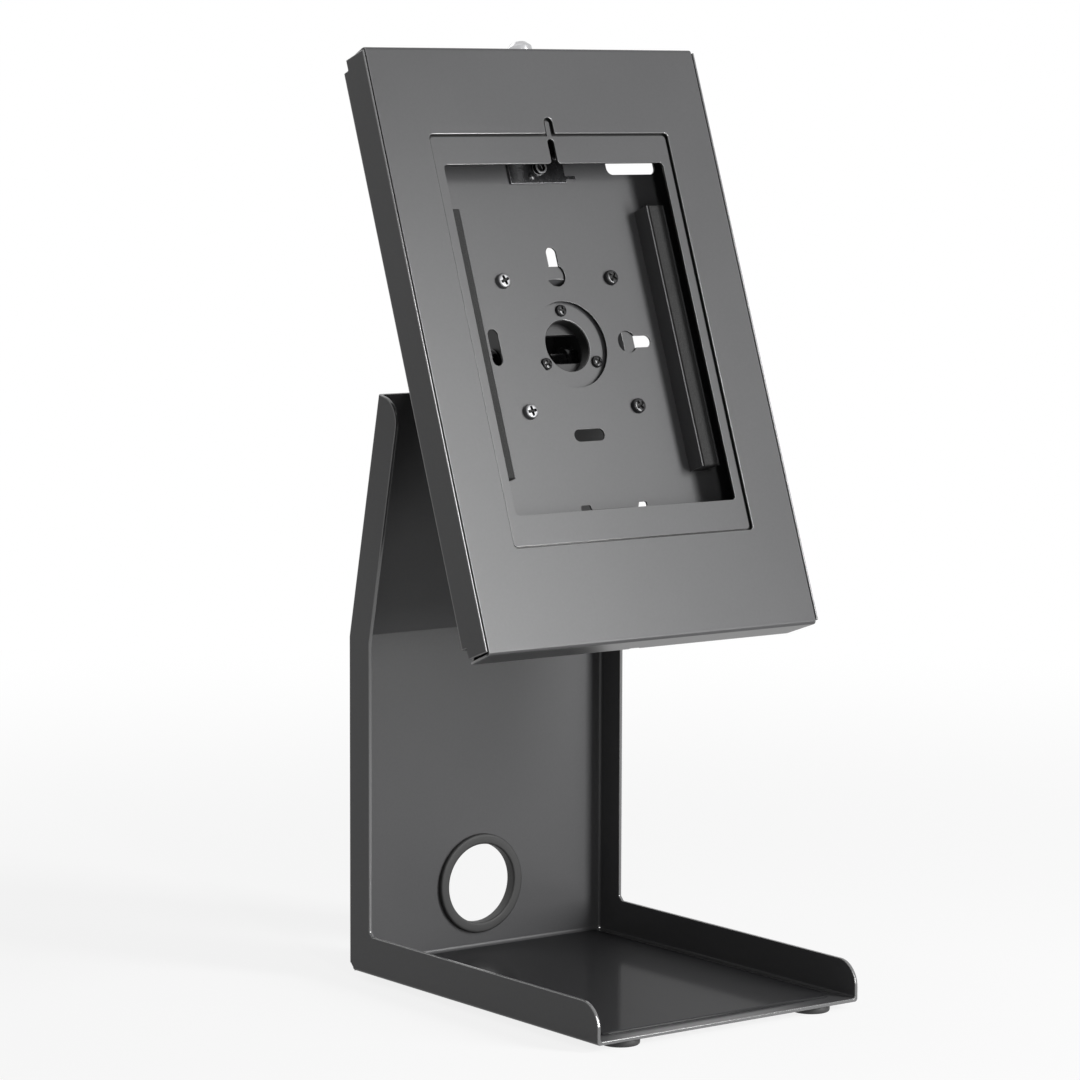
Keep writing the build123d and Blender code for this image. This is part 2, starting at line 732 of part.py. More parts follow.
# Rear housing: back panel and side walls folded from one sheet, with a lip at each end
with BuildPart() as rear_housing:
    with BuildSketch(face_end.offset(-panel_half_length)):
        with Locations((0, panel_back / 2)):
            Rectangle(housing_width, housing_depth)
        fillet(vertices().group_by(Axis.Y)[0], radius=housing_bend_radius)
        with Locations((0, panel_front + housing_depth / 2)):
            Rectangle(housing_width - 2 * housing_sheet, housing_depth, mode=Mode.SUBTRACT)
        inner_corners = vertices().filter_by(
            lambda v: abs(abs(v.X) - half_housing + housing_sheet) < near
            and abs(v.Y - panel_front) < near
        )
        fillet(inner_corners, radius=housing_bend_radius - housing_sheet)
    extrude(amount=2 * panel_half_length)
    # Lips across both ends of the back panel
    lip_half_width = half_housing - housing_lip_inset
    for end in (-1, 1):
        with BuildSketch(face.offset(panel_back)):
            with Locations((0, end * (panel_half_length - housing_sheet / 2))):
                Rectangle(2 * lip_half_width, housing_sheet)
        extrude(amount=housing_lip_height)
    # Relief cuts where the side bends end
    with BuildSketch(face.offset(panel_back)):
        relief_x = half_housing - housing_relief_width / 2
        relief_v = panel_half_length - housing_relief_length / 2
        with GridLocations(2 * relief_x, 2 * relief_v, 2, 2):
            Rectangle(housing_relief_width, housing_relief_length)
    extrude(amount=housing_relief_height, mode=Mode.SUBTRACT)
    # Holes and slots of the back panel
    with BuildSketch(face.offset(panel_back)):
        with Locations((0, swivel_above_middle)):
            Circle(centre_hole_radius)
            with GridLocations(plate_hole_spacing, plate_hole_spacing, 2, 2):
                Circle(plate_screw_radius + hole_clearance)
        slot_middle = keyhole_distance + keyhole_slot_reach / 2
        with Locations((0, swivel_above_middle + keyhole_distance)):
            Circle(keyhole_radius)
        with Locations((keyhole_distance, swivel_above_middle)):
            Circle(keyhole_radius)
        with Locations((0, swivel_above_middle + slot_middle)):
            SlotCenterToCenter(keyhole_slot_reach, keyhole_slot_width, rotation=90)
        with Locations((slot_middle, swivel_above_middle)):
            SlotCenterToCenter(keyhole_slot_reach, keyhole_slot_width)
        with Locations((0, swivel_above_middle - plain_slot_low)):
            SlotOverall(plain_slot_length, keyhole_slot_width)
        with Locations((-plain_slot_left, swivel_above_middle)):
            SlotOverall(plain_slot_length, keyhole_slot_width, rotation=90)
        view_middle = (
            view_slot_left + view_slot_width / 2,
            view_slot_bottom + view_slot_height / 2,
        )
        with Locations(view_middle):
            RectangleRounded(view_slot_width, view_slot_height, view_slot_radius)
    extrude(amount=housing_sheet, mode=Mode.SUBTRACT)
    with BuildSketch(face.offset(panel_back)):
        cutout_middle = cable_cutout_top - cable_cutout_height / 2
        lobe_x = (cable_cutout_width - cable_cutout_lobe_width) / 2
        lobe_height = cable_cutout_height / 2 + cable_cutout_lobe_height
        with Locations((cable_cutout_centre, cutout_middle)):
            Rectangle(cable_cutout_width, cable_cutout_height)
        for side in (-1, 1):
            with Locations((cable_cutout_centre + side * lobe_x, cutout_middle + lobe_height / 2)):
                Rectangle(cable_cutout_lobe_width, lobe_height)
        fillet(vertices(), radius=cable_cutout_radius)
    extrude(amount=housing_sheet, mode=Mode.SUBTRACT)
    # Slots in the bottom lip for the lugs of the cover, and the gap in the top lip for the lock
    with BuildSketch(face_end.offset(panel_half_length - housing_sheet)):
        with Locations((0, panel_front + lug_slot_reach / 2)):
            with GridLocations(lug_spacing, lug_slot_reach, 2, 1):
                Rectangle(lug_slot_width, lug_slot_reach)
    extrude(amount=2 * housing_sheet, mode=Mode.SUBTRACT)
    with BuildSketch(face.offset(panel_front)):
        with Locations((0, panel_half_length)):
            Rectangle(2 * lock_notch_half_width, 2 * (housing_sheet + overshoot))
    extrude(amount=housing_lip_height, mode=Mode.SUBTRACT)
    lip_bends = edges().filter_by(
        lambda e: abs(abs(face.to_local_coords(e.center()).Y) - panel_half_length) < near
        and abs(face.to_local_coords(e.center()).Z - panel_back) < near
    )
    fillet(lip_bends, radius=housing_lip_bend)
rear_housing.part.label = "rear_housing"

# A channel rail and a foam strip on each side of the back panel
rail_middle = pad_outer - pad_width / 2
pad_middle = (pad_low + pad_high) / 2
pad_length = pad_high - pad_low
for side, side_name in ((-1, "left"), (1, "right")):
    with BuildPart() as pad_rail:
        with BuildSketch(face.offset(panel_front)):
            with Locations((side * rail_middle, pad_middle)):
                Rectangle(pad_width, pad_length)
        extrude(amount=rail_height)
        with BuildSketch(face.offset(panel_front + rail_sheet)):
            with Locations((side * rail_middle, pad_middle)):
                Rectangle(pad_width - 2 * rail_sheet, pad_length + overshoot)
        extrude(amount=rail_height, mode=Mode.SUBTRACT)
    pad_rail.part.label = side_name + "_pad_rail"
    export_step(pad_rail.part, "parts/" + pad_rail.part.label + ".step")

    with BuildPart() as foam_pad:
        with BuildSketch(face.offset(panel_front + rail_sheet)):
            with Locations((side * rail_middle, pad_middle)):
                Rectangle(pad_width - 2 * (rail_sheet + foam_clearance), pad_length)
        extrude(amount=foam_height - rail_sheet)
        foam_top = edges().filter_by(
            lambda e: face.to_local_coords(e.center()).Z > panel_front + foam_height - near
        )
        fillet(foam_top, radius=foam_edge)
    foam_pad.part.label = side_name + "_foam_pad"
    export_step(foam_pad.part, "parts/" + foam_pad.part.label + ".step")

# Lock bracket: a plate on the panel with an eye, and a folded catch in front of the cam
with BuildPart() as lock_bracket:
    cam_front = -lock_behind_face + cam_hub_radius
    catch_back = cam_front + catch_clearance
    catch_front = catch_back + bracket_sheet
    with BuildSketch(face.offset(panel_front)):
        with BuildLine():
            Polyline(
                (bracket_left, bracket_bottom),
                (bracket_right, bracket_bottom),
                (bracket_right, ear_low),
                (ear_right, ear_low),
                (ear_right, ear_high),
                (bracket_right, ear_high),
                (bracket_right, catch_high),
                (catch_leg, catch_high),
                (catch_leg, bracket_top),
                (bracket_left, bracket_top),
                close=True,
            )
        make_face()
    extrude(amount=bracket_sheet)
    with BuildSketch(face.offset(panel_front)):
        with Locations((catch_leg + bracket_sheet / 2, (catch_low + catch_high) / 2)):
            Rectangle(bracket_sheet, catch_high - catch_low)
    extrude(amount=catch_front - panel_front)
    with BuildSketch(face.offset(catch_back)):
        catch_width = catch_leg + bracket_sheet - catch_inner
        with Locations((catch_inner + catch_width / 2, (catch_low + catch_high) / 2)):
            Rectangle(catch_width, catch_high - catch_low)
    extrude(amount=bracket_sheet)
    with BuildSketch(face.offset(panel_front)):
        with Locations((eye_x, eye_v)):
            Circle(eye_radius)
    extrude(amount=eye_height)
    with BuildSketch(face.offset(panel_front + bracket_sheet)):
        with Locations((eye_x, eye_v)):
            Circle(eye_radius - eye_wall)
    extrude(amount=eye_height, mode=Mode.SUBTRACT)
lock_bracket.part.label = "lock_bracket"

# Rivet heads that hold the lock bracket on the panel
with BuildPart() as bracket_rivets:
    with BuildSketch(face.offset(panel_front + bracket_sheet)):
        with Locations(*rivet_spots):
            Circle(rivet_radius)
    extrude(amount=rivet_height)
    rivet_tops = edges().filter_by(
        lambda e: face.to_local_coords(e.center()).Z
        > panel_front + bracket_sheet + rivet_height - near
    )
    chamfer(rivet_tops, length=rivet_edge)
bracket_rivets.part.label = "bracket_rivets"

# Front cover: face with folded top and bottom flanges, lugs, studs, window and camera notch
with BuildPart() as front_cover:
    with BuildSketch(face_side.offset(-cover_half_width)):
        flange_back = -cover_flange_depth
        inner_half = cover_half_length - cover_sheet
        with BuildLine():
            Polyline(
                (-cover_half_length, flange_back),
                (-cover_half_length, 0),
                (cover_half_length, 0),
                (cover_half_length, flange_back),
                (inner_half, flange_back),
                (inner_half, -cover_sheet),
                (-inner_half, -cover_sheet),
                (-inner_half, flange_back),
                close=True,
            )
        make_face()
        for end in (-1, 1):
            fillet(at_corner(vertices(), end * cover_half_length, 0), radius=cover_bend_radius)
            inner_bend_radius = cover_bend_radius - cover_sheet
            fillet(at_corner(vertices(), end * inner_half, -cover_sheet), radius=inner_bend_radius)
    extrude(amount=2 * cover_half_width)
    # The flanges narrow towards the rear
    for side in (-1, 1):
        with BuildSketch(face_end.offset(-cover_half_length - overshoot)):
            taper_x = side * cover_half_width
            outside_x = side * (cover_half_width + overshoot)
            with BuildLine():
                Polyline(
                    (taper_x, -cover_taper_start),
                    (outside_x, -cover_taper_start),
                    (outside_x, flange_back - overshoot),
                    (taper_x - side * cover_flange_taper, flange_back - overshoot),
                    (taper_x - side * cover_flange_taper, flange_back),
                    close=True,
                )
            make_face()
        extrude(amount=cover_length + 2 * overshoot, mode=Mode.SUBTRACT)
    # Window with the camera notch in its upper edge
    with BuildSketch(face.offset(-cover_sheet)):
        window_height = window_top - window_bottom
        notch_radius = camera_notch_width / 2
        with Locations((0, (window_top + window_bottom) / 2)):
            RectangleRounded(window_width, window_height, window_radius)
        with Locations((0, window_top + camera_notch_rise - notch_radius)):
            Circle(notch_radius)
        with Locations((0, window_top + (camera_notch_rise - notch_radius) / 2)):
            Rectangle(camera_notch_width, camera_notch_rise - notch_radius)
        for side in (-1, 1):
            mouth = at_corner(vertices(), side * notch_radius, window_top)
            fillet(mouth, radius=camera_notch_mouth)
    extrude(amount=cover_sheet, mode=Mode.SUBTRACT)
    # Lugs on the bottom flange that hook over the lip of the housing
    with BuildSketch(face_side.offset(-lug_spacing / 2 - lug_width / 2)):
        lug_back = panel_front + lug_from_panel
        lug_front = lug_back + lug_thickness
        lug_top = -inner_half + lug_height
        with BuildLine():
            Polyline(
                (-inner_half, lug_back),
                (-inner_half, lug_front),
                (lug_top, lug_front),
                (lug_top, lug_back - lug_nose),
                (lug_top - lug_thickness, lug_back - lug_nose),
                (lug_top - lug_thickness, lug_back),
                close=True,
            )
        make_face()
    lug = extrude(amount=lug_width)
    mirror(lug, about=Plane.YZ)
    # Studs for the adapter frame
    with BuildSketch(face.offset(-cover_sheet)):
        with Locations((0, stud_middle)):
            with GridLocations(2 * stud_x, stud_spacing, 2, 2):
                Circle(stud_radius)
    extrude(amount=-stud_length)
    # Lock hole in the top flange, and a small notch in the rear edge of the bottom flange
    with BuildSketch(lock_plane):
        Circle(lock_body_radius + seat_clearance)
    extrude(amount=-cover_sheet, mode=Mode.SUBTRACT)
    with BuildSketch(face_end.offset(cover_half_length)):
        with Locations((0, flange_back)):
            Rectangle(pry_notch_width, 2 * pry_notch_depth)
    extrude(amount=-cover_sheet, mode=Mode.SUBTRACT)
front_cover.part.label = "front_cover"

# Adapter frame that narrows the window to the tablet
with BuildPart() as adapter_frame:
    with BuildSketch(face.offset(-cover_sheet - adapter_sheet)):
        with Locations((0, (adapter_high + adapter_low) / 2)):
            RectangleRounded(
                2 * adapter_half_width, adapter_high - adapter_low, adapter_corner_radius
            )
        with Locations((0, (adapter_window_top + adapter_window_bottom) / 2)):
            RectangleRounded(
                adapter_window_width,
                adapter_window_top - adapter_window_bottom,
                adapter_window_radius,
                mode=Mode.SUBTRACT,
            )
        slot_half = adapter_slot_width / 2
        slot_rise = adapter_slot_top - slot_half - adapter_window_top
        with Locations((0, adapter_slot_top - slot_half)):
            Circle(slot_half, mode=Mode.SUBTRACT)
        with Locations((0, adapter_window_top + slot_rise / 2)):
            Rectangle(adapter_slot_width, slot_rise, mode=Mode.SUBTRACT)
        for side in (-1, 1):
            mouth = at_corner(vertices(), side * slot_half, adapter_window_top)
            fillet(mouth, radius=adapter_slot_mouth)
        with Locations((0, stud_middle)):
            with GridLocations(2 * stud_x, stud_spacing, 2, 2):
                Circle(stud_radius + hole_clearance, mode=Mode.SUBTRACT)
    extrude(amount=adapter_sheet)
adapter_frame.part.label = "adapter_frame"

with BuildPart() as adapter_nuts:
    with BuildSketch(face.offset(-cover_sheet - adapter_sheet)):
        with Locations((0, stud_middle)):
            with GridLocations(2 * stud_x, stud_spacing, 2, 2):
                RegularPolygon(adapter_nut_width / 2, 6, major_radius=False)
                Circle(stud_radius + thread_clearance, mode=Mode.SUBTRACT)
    extrude(amount=-adapter_nut_height)
adapter_nuts.part.label = "adapter_nuts"

# Lock barrel with its bevelled head above the cover's top flange
with BuildPart() as lock_barrel:
    with BuildSketch(lock_plane):
        Circle(lock_head_radius)
    extrude(amount=lock_head_height)
    head_rim = edges().filter_by(
        lambda e: lock_plane.to_local_coords(e.center()).Z > lock_head_height - near
    )
    chamfer(head_rim, length=lock_head_chamfer)
    with BuildSketch(lock_plane):
        Circle(lock_body_radius)
    extrude(amount=-lock_body_length)
    with BuildSketch(lock_plane.offset(-lock_body_length)):
        Circle(plug_radius + running_clearance)
    extrude(amount=lock_body_length + lock_head_height, mode=Mode.SUBTRACT)
lock_barrel.part.label = "lock_barrel"

with BuildPart() as lock_nut:
    with BuildSketch(lock_plane.offset(-cover_sheet)):
        RegularPolygon(lock_nut_width / 2, 6, major_radius=False)
        Circle(lock_body_radius + thread_clearance, mode=Mode.SUBTRACT)
    extrude(amount=-lock_nut_height)
lock_nut.part.label = "lock_nut"

# Key plug with its keyway, square tang and the cam on it
cam_top = -lock_body_length - cam_gap
with BuildPart() as key_plug:
    with BuildSketch(lock_plane.offset(cam_top)):
        Circle(plug_radius)
    extrude(amount=lock_head_height - plug_recess - cam_top)
    with BuildSketch(lock_plane.offset(cam_top)):
        Rectangle(cam_square, cam_square)
    extrude(amount=-cam_thickness)
    with BuildSketch(lock_plane.offset(lock_head_height - plug_recess)):
        Rectangle(keyway_width, keyway_length)
    extrude(amount=-keyway_depth, mode=Mode.SUBTRACT)
    with BuildSketch(lock_plane.offset(cam_top - cam_thickness)):
        Circle(cam_screw_radius + thread_clearance)
    extrude(amount=cam_screw_length, mode=Mode.SUBTRACT)
key_plug.part.label = "key_plug"

with BuildPart() as lock_cam:
    with BuildSketch(lock_plane.offset(cam_top)):
        Circle(cam_hub_radius)
        with Locations((cam_reach, 0)):
            Circle(cam_tip_radius)
        make_hull()
        cam_hole = cam_square + 2 * seat_clearance
        Rectangle(cam_hole, cam_hole, mode=Mode.SUBTRACT)
    extrude(amount=-cam_thickness)
lock_cam.part.label = "lock_cam"

with BuildPart() as cam_screw:
    with BuildSketch(lock_plane.offset(cam_top - cam_thickness)):
        Circle(cam_head_radius)
    extrude(amount=-cam_head_height)
    with BuildSketch(lock_plane.offset(cam_top - cam_thickness)):
        Circle(cam_screw_radius)
    extrude(amount=cam_screw_length - free_clearance)
cam_screw.part.label = "cam_screw"

for piece in (
    stand_bracket, rubber_feet, tray_mat, cable_grommet,
    hinge_base_bracket, hinge_mount_screws, hinge_mount_nuts,
    pivot_bolts, pivot_nuts, pivot_washers, tilt_friction_washers, stop_screws,
    tilt_yoke, swivel_hub, front_bearing_washer, rear_bearing_washer,
    retaining_ring, ring_screws, vesa_plate, vesa_screws,
    rear_housing, lock_bracket, bracket_rivets,
    front_cover, adapter_frame, adapter_nuts, lock_barrel, lock_nut,
    key_plug, lock_cam, cam_screw,
):
    export_step(piece.part, "parts/" + piece.part.label + ".step")
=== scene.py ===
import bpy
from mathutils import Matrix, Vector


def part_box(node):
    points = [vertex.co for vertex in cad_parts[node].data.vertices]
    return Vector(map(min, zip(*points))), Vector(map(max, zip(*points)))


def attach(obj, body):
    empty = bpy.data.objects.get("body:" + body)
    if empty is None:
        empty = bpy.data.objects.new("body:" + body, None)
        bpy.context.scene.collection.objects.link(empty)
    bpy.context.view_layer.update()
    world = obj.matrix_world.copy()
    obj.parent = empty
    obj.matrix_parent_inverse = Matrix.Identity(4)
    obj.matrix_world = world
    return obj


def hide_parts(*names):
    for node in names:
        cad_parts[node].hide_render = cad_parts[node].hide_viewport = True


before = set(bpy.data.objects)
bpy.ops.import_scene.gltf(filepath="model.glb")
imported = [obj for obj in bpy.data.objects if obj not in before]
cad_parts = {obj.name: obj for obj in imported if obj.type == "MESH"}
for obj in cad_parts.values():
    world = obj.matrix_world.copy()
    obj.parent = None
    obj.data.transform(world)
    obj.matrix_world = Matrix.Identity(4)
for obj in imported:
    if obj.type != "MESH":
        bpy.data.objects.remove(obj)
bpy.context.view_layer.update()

from math import cos, pi, radians, sin

import bmesh
import bpy
import numpy as np
from mathutils import Matrix

bl_info = {
    "name": "Tablet Counter Stand",
    "version": (1, 0, 0),
    "blender": (4, 5, 0),
    "location": "View3D > Sidebar > Counter Stand",
    "description": "Dresses a folded steel counter stand with a lockable tablet enclosure",
    "category": "Object",
}

# Everything is in metres in the row frame: the desk is z = 0 and -Y is towards the user.
MM = 0.001
LEAN = radians(12)
TILT = radians(20)
BACK_Y = 0.114625
ACROSS = np.array([1.0, 0.0, 0.0])
PLATE_UP = np.array([0.0, -sin(LEAN), cos(LEAN)])
PLATE_FRONT = np.array([0.0, -cos(LEAN), -sin(LEAN)])
FACE_UP = np.array([0.0, sin(TILT), cos(TILT)])
FACE_FRONT = np.array([0.0, -cos(TILT), sin(TILT)])
PLATE_FOOT = np.array([0.0, BACK_Y, 0.195])
PIVOT = PLATE_FOOT + 0.1632 * PLATE_UP + 0.0235 * PLATE_FRONT
FACE_MIDDLE = PIVOT + 0.054 * FACE_FRONT - 0.004 * FACE_UP

WELD = 2e-7  # points of a made shape that lie closer than this are one point
CAD_WELD = 2e-6  # the same for the triangles of a CAD part
SHEET_SHARP = radians(32)  # an edge of a sheet sharper than this gets a round
CUT_WIDTH = 2.2 * MM  # a face of a sheet that is narrower than this is a cut edge
FINE_SHARE = 0.2  # of the usual round, at the holes of the back panel
HEAD_LINES = 33  # of the grid of a screw's head, each way
RECESS_WALL = 0.03  # width of a recess's wall, as a share of the head's radius
MATT_SHARE = 0.88  # of the tray sheet, the rest of which is gloss


# Places and grids


class Place:
    """A local system of axes in the row frame."""

    def __init__(self, origin, across, outward):
        self.origin = np.array(origin, float)
        self.x = np.array(across, float)
        self.z = np.array(outward, float)
        self.y = np.cross(self.z, self.x)

    def points(self, local):
        """origin + x * X + y * Y + z * Z for every row of an array of local points."""
        x, y, z = np.split(np.asarray(local, float), 3, axis=-1)
        return self.origin + x * self.x + y * self.y + z * self.z

    def local(self, points):
        """The local x, y, z of points in the row frame: their distance along each axis."""
        axes = np.stack([self.x, self.y, self.z], axis=1)
        return (np.asarray(points, float) - self.origin) @ axes

    def at(self, x, y, z=0.0):
        """The same axes moved to a local point."""
        return Place(self.points([x, y, z]), self.x, self.z)

    def turned(self, angle):
        """The same place turned about its outward axis by an angle in degrees."""
        turn = radians(angle)
        return Place(self.origin, cos(turn) * self.x + sin(turn) * self.y, self.z)


FACE = Place(FACE_MIDDLE, ACROSS, FACE_FRONT)
PLATE = Place(PLATE_FOOT, ACROSS, PLATE_FRONT)
TRAY = Place((0, 0, 0), ACROSS, (0, 0, 1))
LOCK = Place(FACE_MIDDLE + 0.17 * FACE_UP - 0.012 * FACE_FRONT, ACROSS, FACE_UP)


def in_box(points, low, high):
    """Which points lie between two corners, given in mm about the enclosure's face."""
    local = FACE.local(points) / MM
    return np.all((local > low) & (local < high), axis=-1)


def quads(rows, columns, round_rows=False, round_columns=True):
    """Corner numbers of the quads of a grid of points.

    A round direction joins its last line to its first.
    """
    i, j = np.meshgrid(
        np.arange(rows if round_rows else rows - 1),
        np.arange(columns if round_columns else columns - 1),
        indexing="ij",
    )
    up, along = (i + 1) % rows, (j + 1) % columns
    corners = [i * columns + j, i * columns + along, up * columns + along, up * columns + j]
    return np.stack(corners, axis=-1).reshape(-1, 4)


def even_angles(count):
    return np.linspace(0, 2 * pi, count, endpoint=False)


def around(radius, height, angle):
    """Points (r cos a, r sin a, z): a row of angles for each radius and height."""
    return np.stack([radius * np.cos(angle), radius * np.sin(angle), height + 0 * angle], axis=-1)


def turned(profile, count=48, ring=False):
    """Profile (r, z) turned about Z at `count` even angles. A ring's profile closes on itself."""
    profile = np.array(profile, float)
    points = around(profile[:, :1], profile[:, 1:], even_angles(count))
    return points.reshape(-1, 3), quads(len(profile), count, round_rows=ring)


def faceted(profile):
    """Rows of (r, z, share), six-sided as far as the share says.

    Each row's radius is r / cos(b)^share, where b is the angle from the middle of the nearest
    flat, so share 1 is a hexagon and share 0 a circle.
    """
    profile = np.array(profile, float)
    angle = even_angles(48)
    flat = pi / 3
    off = (angle + flat / 2) % flat - flat / 2
    return around(profile[:, :1] / np.cos(off) ** profile[:, 2:], profile[:, 1:2], angle)


def softened(corners, cuts, steps=5):
    """A closed outline whose corners are curves.

    Corner C becomes (1-t)^2 A + 2t(1-t) C + t^2 B, where A and B lie one cut before and after it.
    """
    corners = np.array(corners, float)
    cuts = np.broadcast_to(np.array(cuts, float), len(corners))[:, None]
    before = np.roll(corners, 1, axis=0) - corners
    after = np.roll(corners, -1, axis=0) - corners
    start = corners + before / np.linalg.norm(before, axis=1, keepdims=True) * cuts
    end = corners + after / np.linalg.norm(after, axis=1, keepdims=True) * cuts
    t = np.linspace(0, 1, steps)[None, :, None]
    curve = (1 - t) ** 2 * start[:, None] + 2 * t * (1 - t) * corners[:, None] + t**2 * end[:, None]
    return curve.reshape(-1, 2)


def rounded_slab(half_x, half_y, radii, rows):
    """A rectangle whose four corners have their own radii, at rows of (inset, z, scale).

    The first and last rows shrink to the middle by their scale 0.
    """
    quarter = np.arange(4)[:, None] * pi / 2 + np.linspace(0, pi / 2, 10)
    sign_x, sign_y = np.array([1, -1, -1, 1])[:, None], np.array([1, 1, -1, -1])[:, None]
    radii = np.array(radii, float)[:, None]
    outlines = []
    for inset, height, scale in rows:
        radius = np.maximum(radii - inset, 1e-5)
        x = sign_x * (half_x - inset - radius) + radius * np.cos(quarter)
        y = sign_y * (half_y - inset - radius) + radius * np.sin(quarter)
        outline = np.stack([x * scale, y * scale, np.full(x.shape, height)], axis=-1)
        outlines.append(outline.reshape(-1, 3))
    points = np.array(outlines)
    return points.reshape(-1, 3), quads(len(rows), points.shape[1])


def recessed_head(radius, height, recess, crown=3.0):
    """A domed head with a recess in it.

    The square s, t in -1..1 is bent to a disc by x = s (1 - t^2/2)^0.5 and
    y = t (1 - s^2/2)^0.5. Its height is h (1 - rho^crown)^(1/2.4) less the recess, with rho the
    distance from the middle.
    """
    line = np.linspace(-1, 1, HEAD_LINES)
    line = np.sign(line) * np.abs(line) ** 1.15
    s, t = np.meshgrid(line, line, indexing="ij")
    x, y = s * np.sqrt(1 - t**2 / 2), t * np.sqrt(1 - s**2 / 2)
    rho = np.clip(np.hypot(x, y), 0, 1)
    floor = 0.15 * height * (rho < 0.8)
    top = np.maximum(height * (1 - rho**crown) ** (1 / 2.4) - recess(x, y), floor)
    upper = np.stack([x * radius, y * radius, top], axis=-1).reshape(-1, 3)
    faces = quads(HEAD_LINES, HEAD_LINES, round_columns=False)
    return joined((upper, faces), (upper * [1, 1, 0], faces[:, ::-1]))


def within(distance, half):
    """1 nearer to 0 than half and 0 beyond it, over a steep wall."""
    return np.clip((half - np.abs(distance)) / RECESS_WALL + 0.5, 0, 1)


def cross_recess(arm, reach, depth):
    """A cross: |x| < arm, |y| < reach and the reverse, as deep as depth (1 - 0.55 rho / reach)."""

    def recess(x, y):
        cross = np.maximum(within(x, arm) * within(y, reach), within(y, arm) * within(x, reach))
        return depth * (1 - 0.55 * np.clip(np.hypot(x, y) / reach, 0, 1)) * cross

    return recess


def slot_recess(half_width, half_length, depth):
    """A slot |x| < half_width, |y| < half_length with steep walls."""
    return lambda x, y: depth * within(x, half_width) * within(y, half_length)


def joined(*shapes):
    """Several (points, faces) pairs as one."""
    starts = np.cumsum([0] + [len(points) for points, _ in shapes[:-1]])
    points = np.concatenate([points for points, _ in shapes])
    faces = np.concatenate([faces + start for (_, faces), start in zip(shapes, starts)])
    return points, faces


def set_at(places, shape):
    """A shape given in millimetres, in metres at several places."""
    points, faces = shape
    return joined(*[(place.points(points * MM), faces) for place in places])


# Hardware shapes, in millimetres about their seat


def hexagon_head(width, height, hole=0.0):
    """A hexagon bolt head or nut whose corners are cut by a 30 degree cone at both ends.

    The cones start on a circle just inside the flats, and a hole is chamfered at both ends.
    """
    flat, rim = width / 2, 0.93 * width / 2
    rows = [(hole, 0, 0), (rim, 0, 0), (flat, 0, 1), (flat, 0, 1), (flat, height, 1)]
    rows += [(rim, height, 0), (hole, height, 0)]
    points = faceted(rows)
    radius = np.hypot(points[..., 0], points[..., 1])
    cone = 0.577 * np.maximum(radius - rim, 0)
    points[:3, :, 2] += cone[:3]
    points[3, :, 2] = points[2, :, 2]
    points[4:, :, 2] -= cone[4:]
    if hole:
        chamfer = points[[0, -1]] * [1.16, 1.16, 1]
        points[0, :, 2] += 0.4
        points[-1, :, 2] -= 0.4
        points = np.concatenate([points[:1], chamfer[:1], points[1:-1], chamfer[1:], points[-1:]])
    return points.reshape(-1, 3), quads(len(points), points.shape[1], round_rows=bool(hole))


def shank(radius, length, chamfer=0.4, count=32):
    """A rod from its seat downwards with a chamfered end, closed at both ends."""
    rows = [(0, 0), (radius, 0), (radius, chamfer - length), (radius - chamfer, -length)]
    return turned(rows + [(0, -length)], count)


def washer(hole, radius, thickness, edge=0.2):
    """A flat ring whose four edges are rounded."""
    corners = [(hole, 0), (radius, 0), (radius, thickness), (hole, thickness)]
    return turned(softened(corners, edge, 4), ring=True)


def cross_head_screw(radius, height, rod, length, arm=0.15, crown=3.0):
    """A domed head with a cross recess on a plain rod."""
    head = recessed_head(radius, height, cross_recess(arm, 0.62, 0.62 * height), crown)
    return joined(head, shank(rod, length))


def socket_head_screw(radius, height, hexagon, rod, length):
    """A button head turned from a quarter ellipse with a six-sided socket, on a plain rod."""
    deep, socket = 0.42 * height, hexagon / 2
    rows = [(0, deep, 1), (socket, deep, 1), (socket, 0.93 * height, 1)]
    rows.append((socket + 0.3, 0.985 * height, 0.4))
    rows += [(radius * cos(a), height * sin(a), 0) for a in np.linspace(0.42 * pi, 0, 8)]
    rows += [(rod, 0, 0), (rod, 0.4 - length, 0), (rod - 0.4, -length, 0), (0, -length, 0)]
    points = faceted(rows)
    return points.reshape(-1, 3), quads(len(rows), points.shape[1])


# Meshes and objects


def solid_mesh(name, shape):
    """A mesh of a closed shape: its doubled points are welded and its faces look outwards."""
    points, faces = shape
    mesh = bpy.data.meshes.new(name)
    mesh.from_pydata(points.tolist(), [], faces.tolist())
    work = bmesh.new()
    work.from_mesh(mesh)
    bmesh.ops.remove_doubles(work, verts=work.verts, dist=WELD)
    bmesh.ops.recalc_face_normals(work, faces=work.faces)
    work.to_mesh(mesh)
    work.free()
    return mesh


def linked(name, data):
    """A new object in the scene."""
    made = bpy.data.objects.new(name, data)
    bpy.context.scene.collection.objects.link(made)
    return made


def standing(x, y, z, spot):
    """The matrix of an object with these axes at a spot."""
    return Matrix([(*row, at) for row, at in zip(zip(x, y, z), spot)] + [(0, 0, 0, 1)])


def placed(name, mesh, node, body, coat, sharp=30):
    """An object of a finished mesh that rides on a body and stands for a CAD node."""
    mesh.shade_smooth()
    mesh.set_sharp_from_angle(angle=radians(sharp))
    made = linked(name, mesh)
    made.data.materials.append(coat)
    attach(made, body)
    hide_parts(node)
    return made


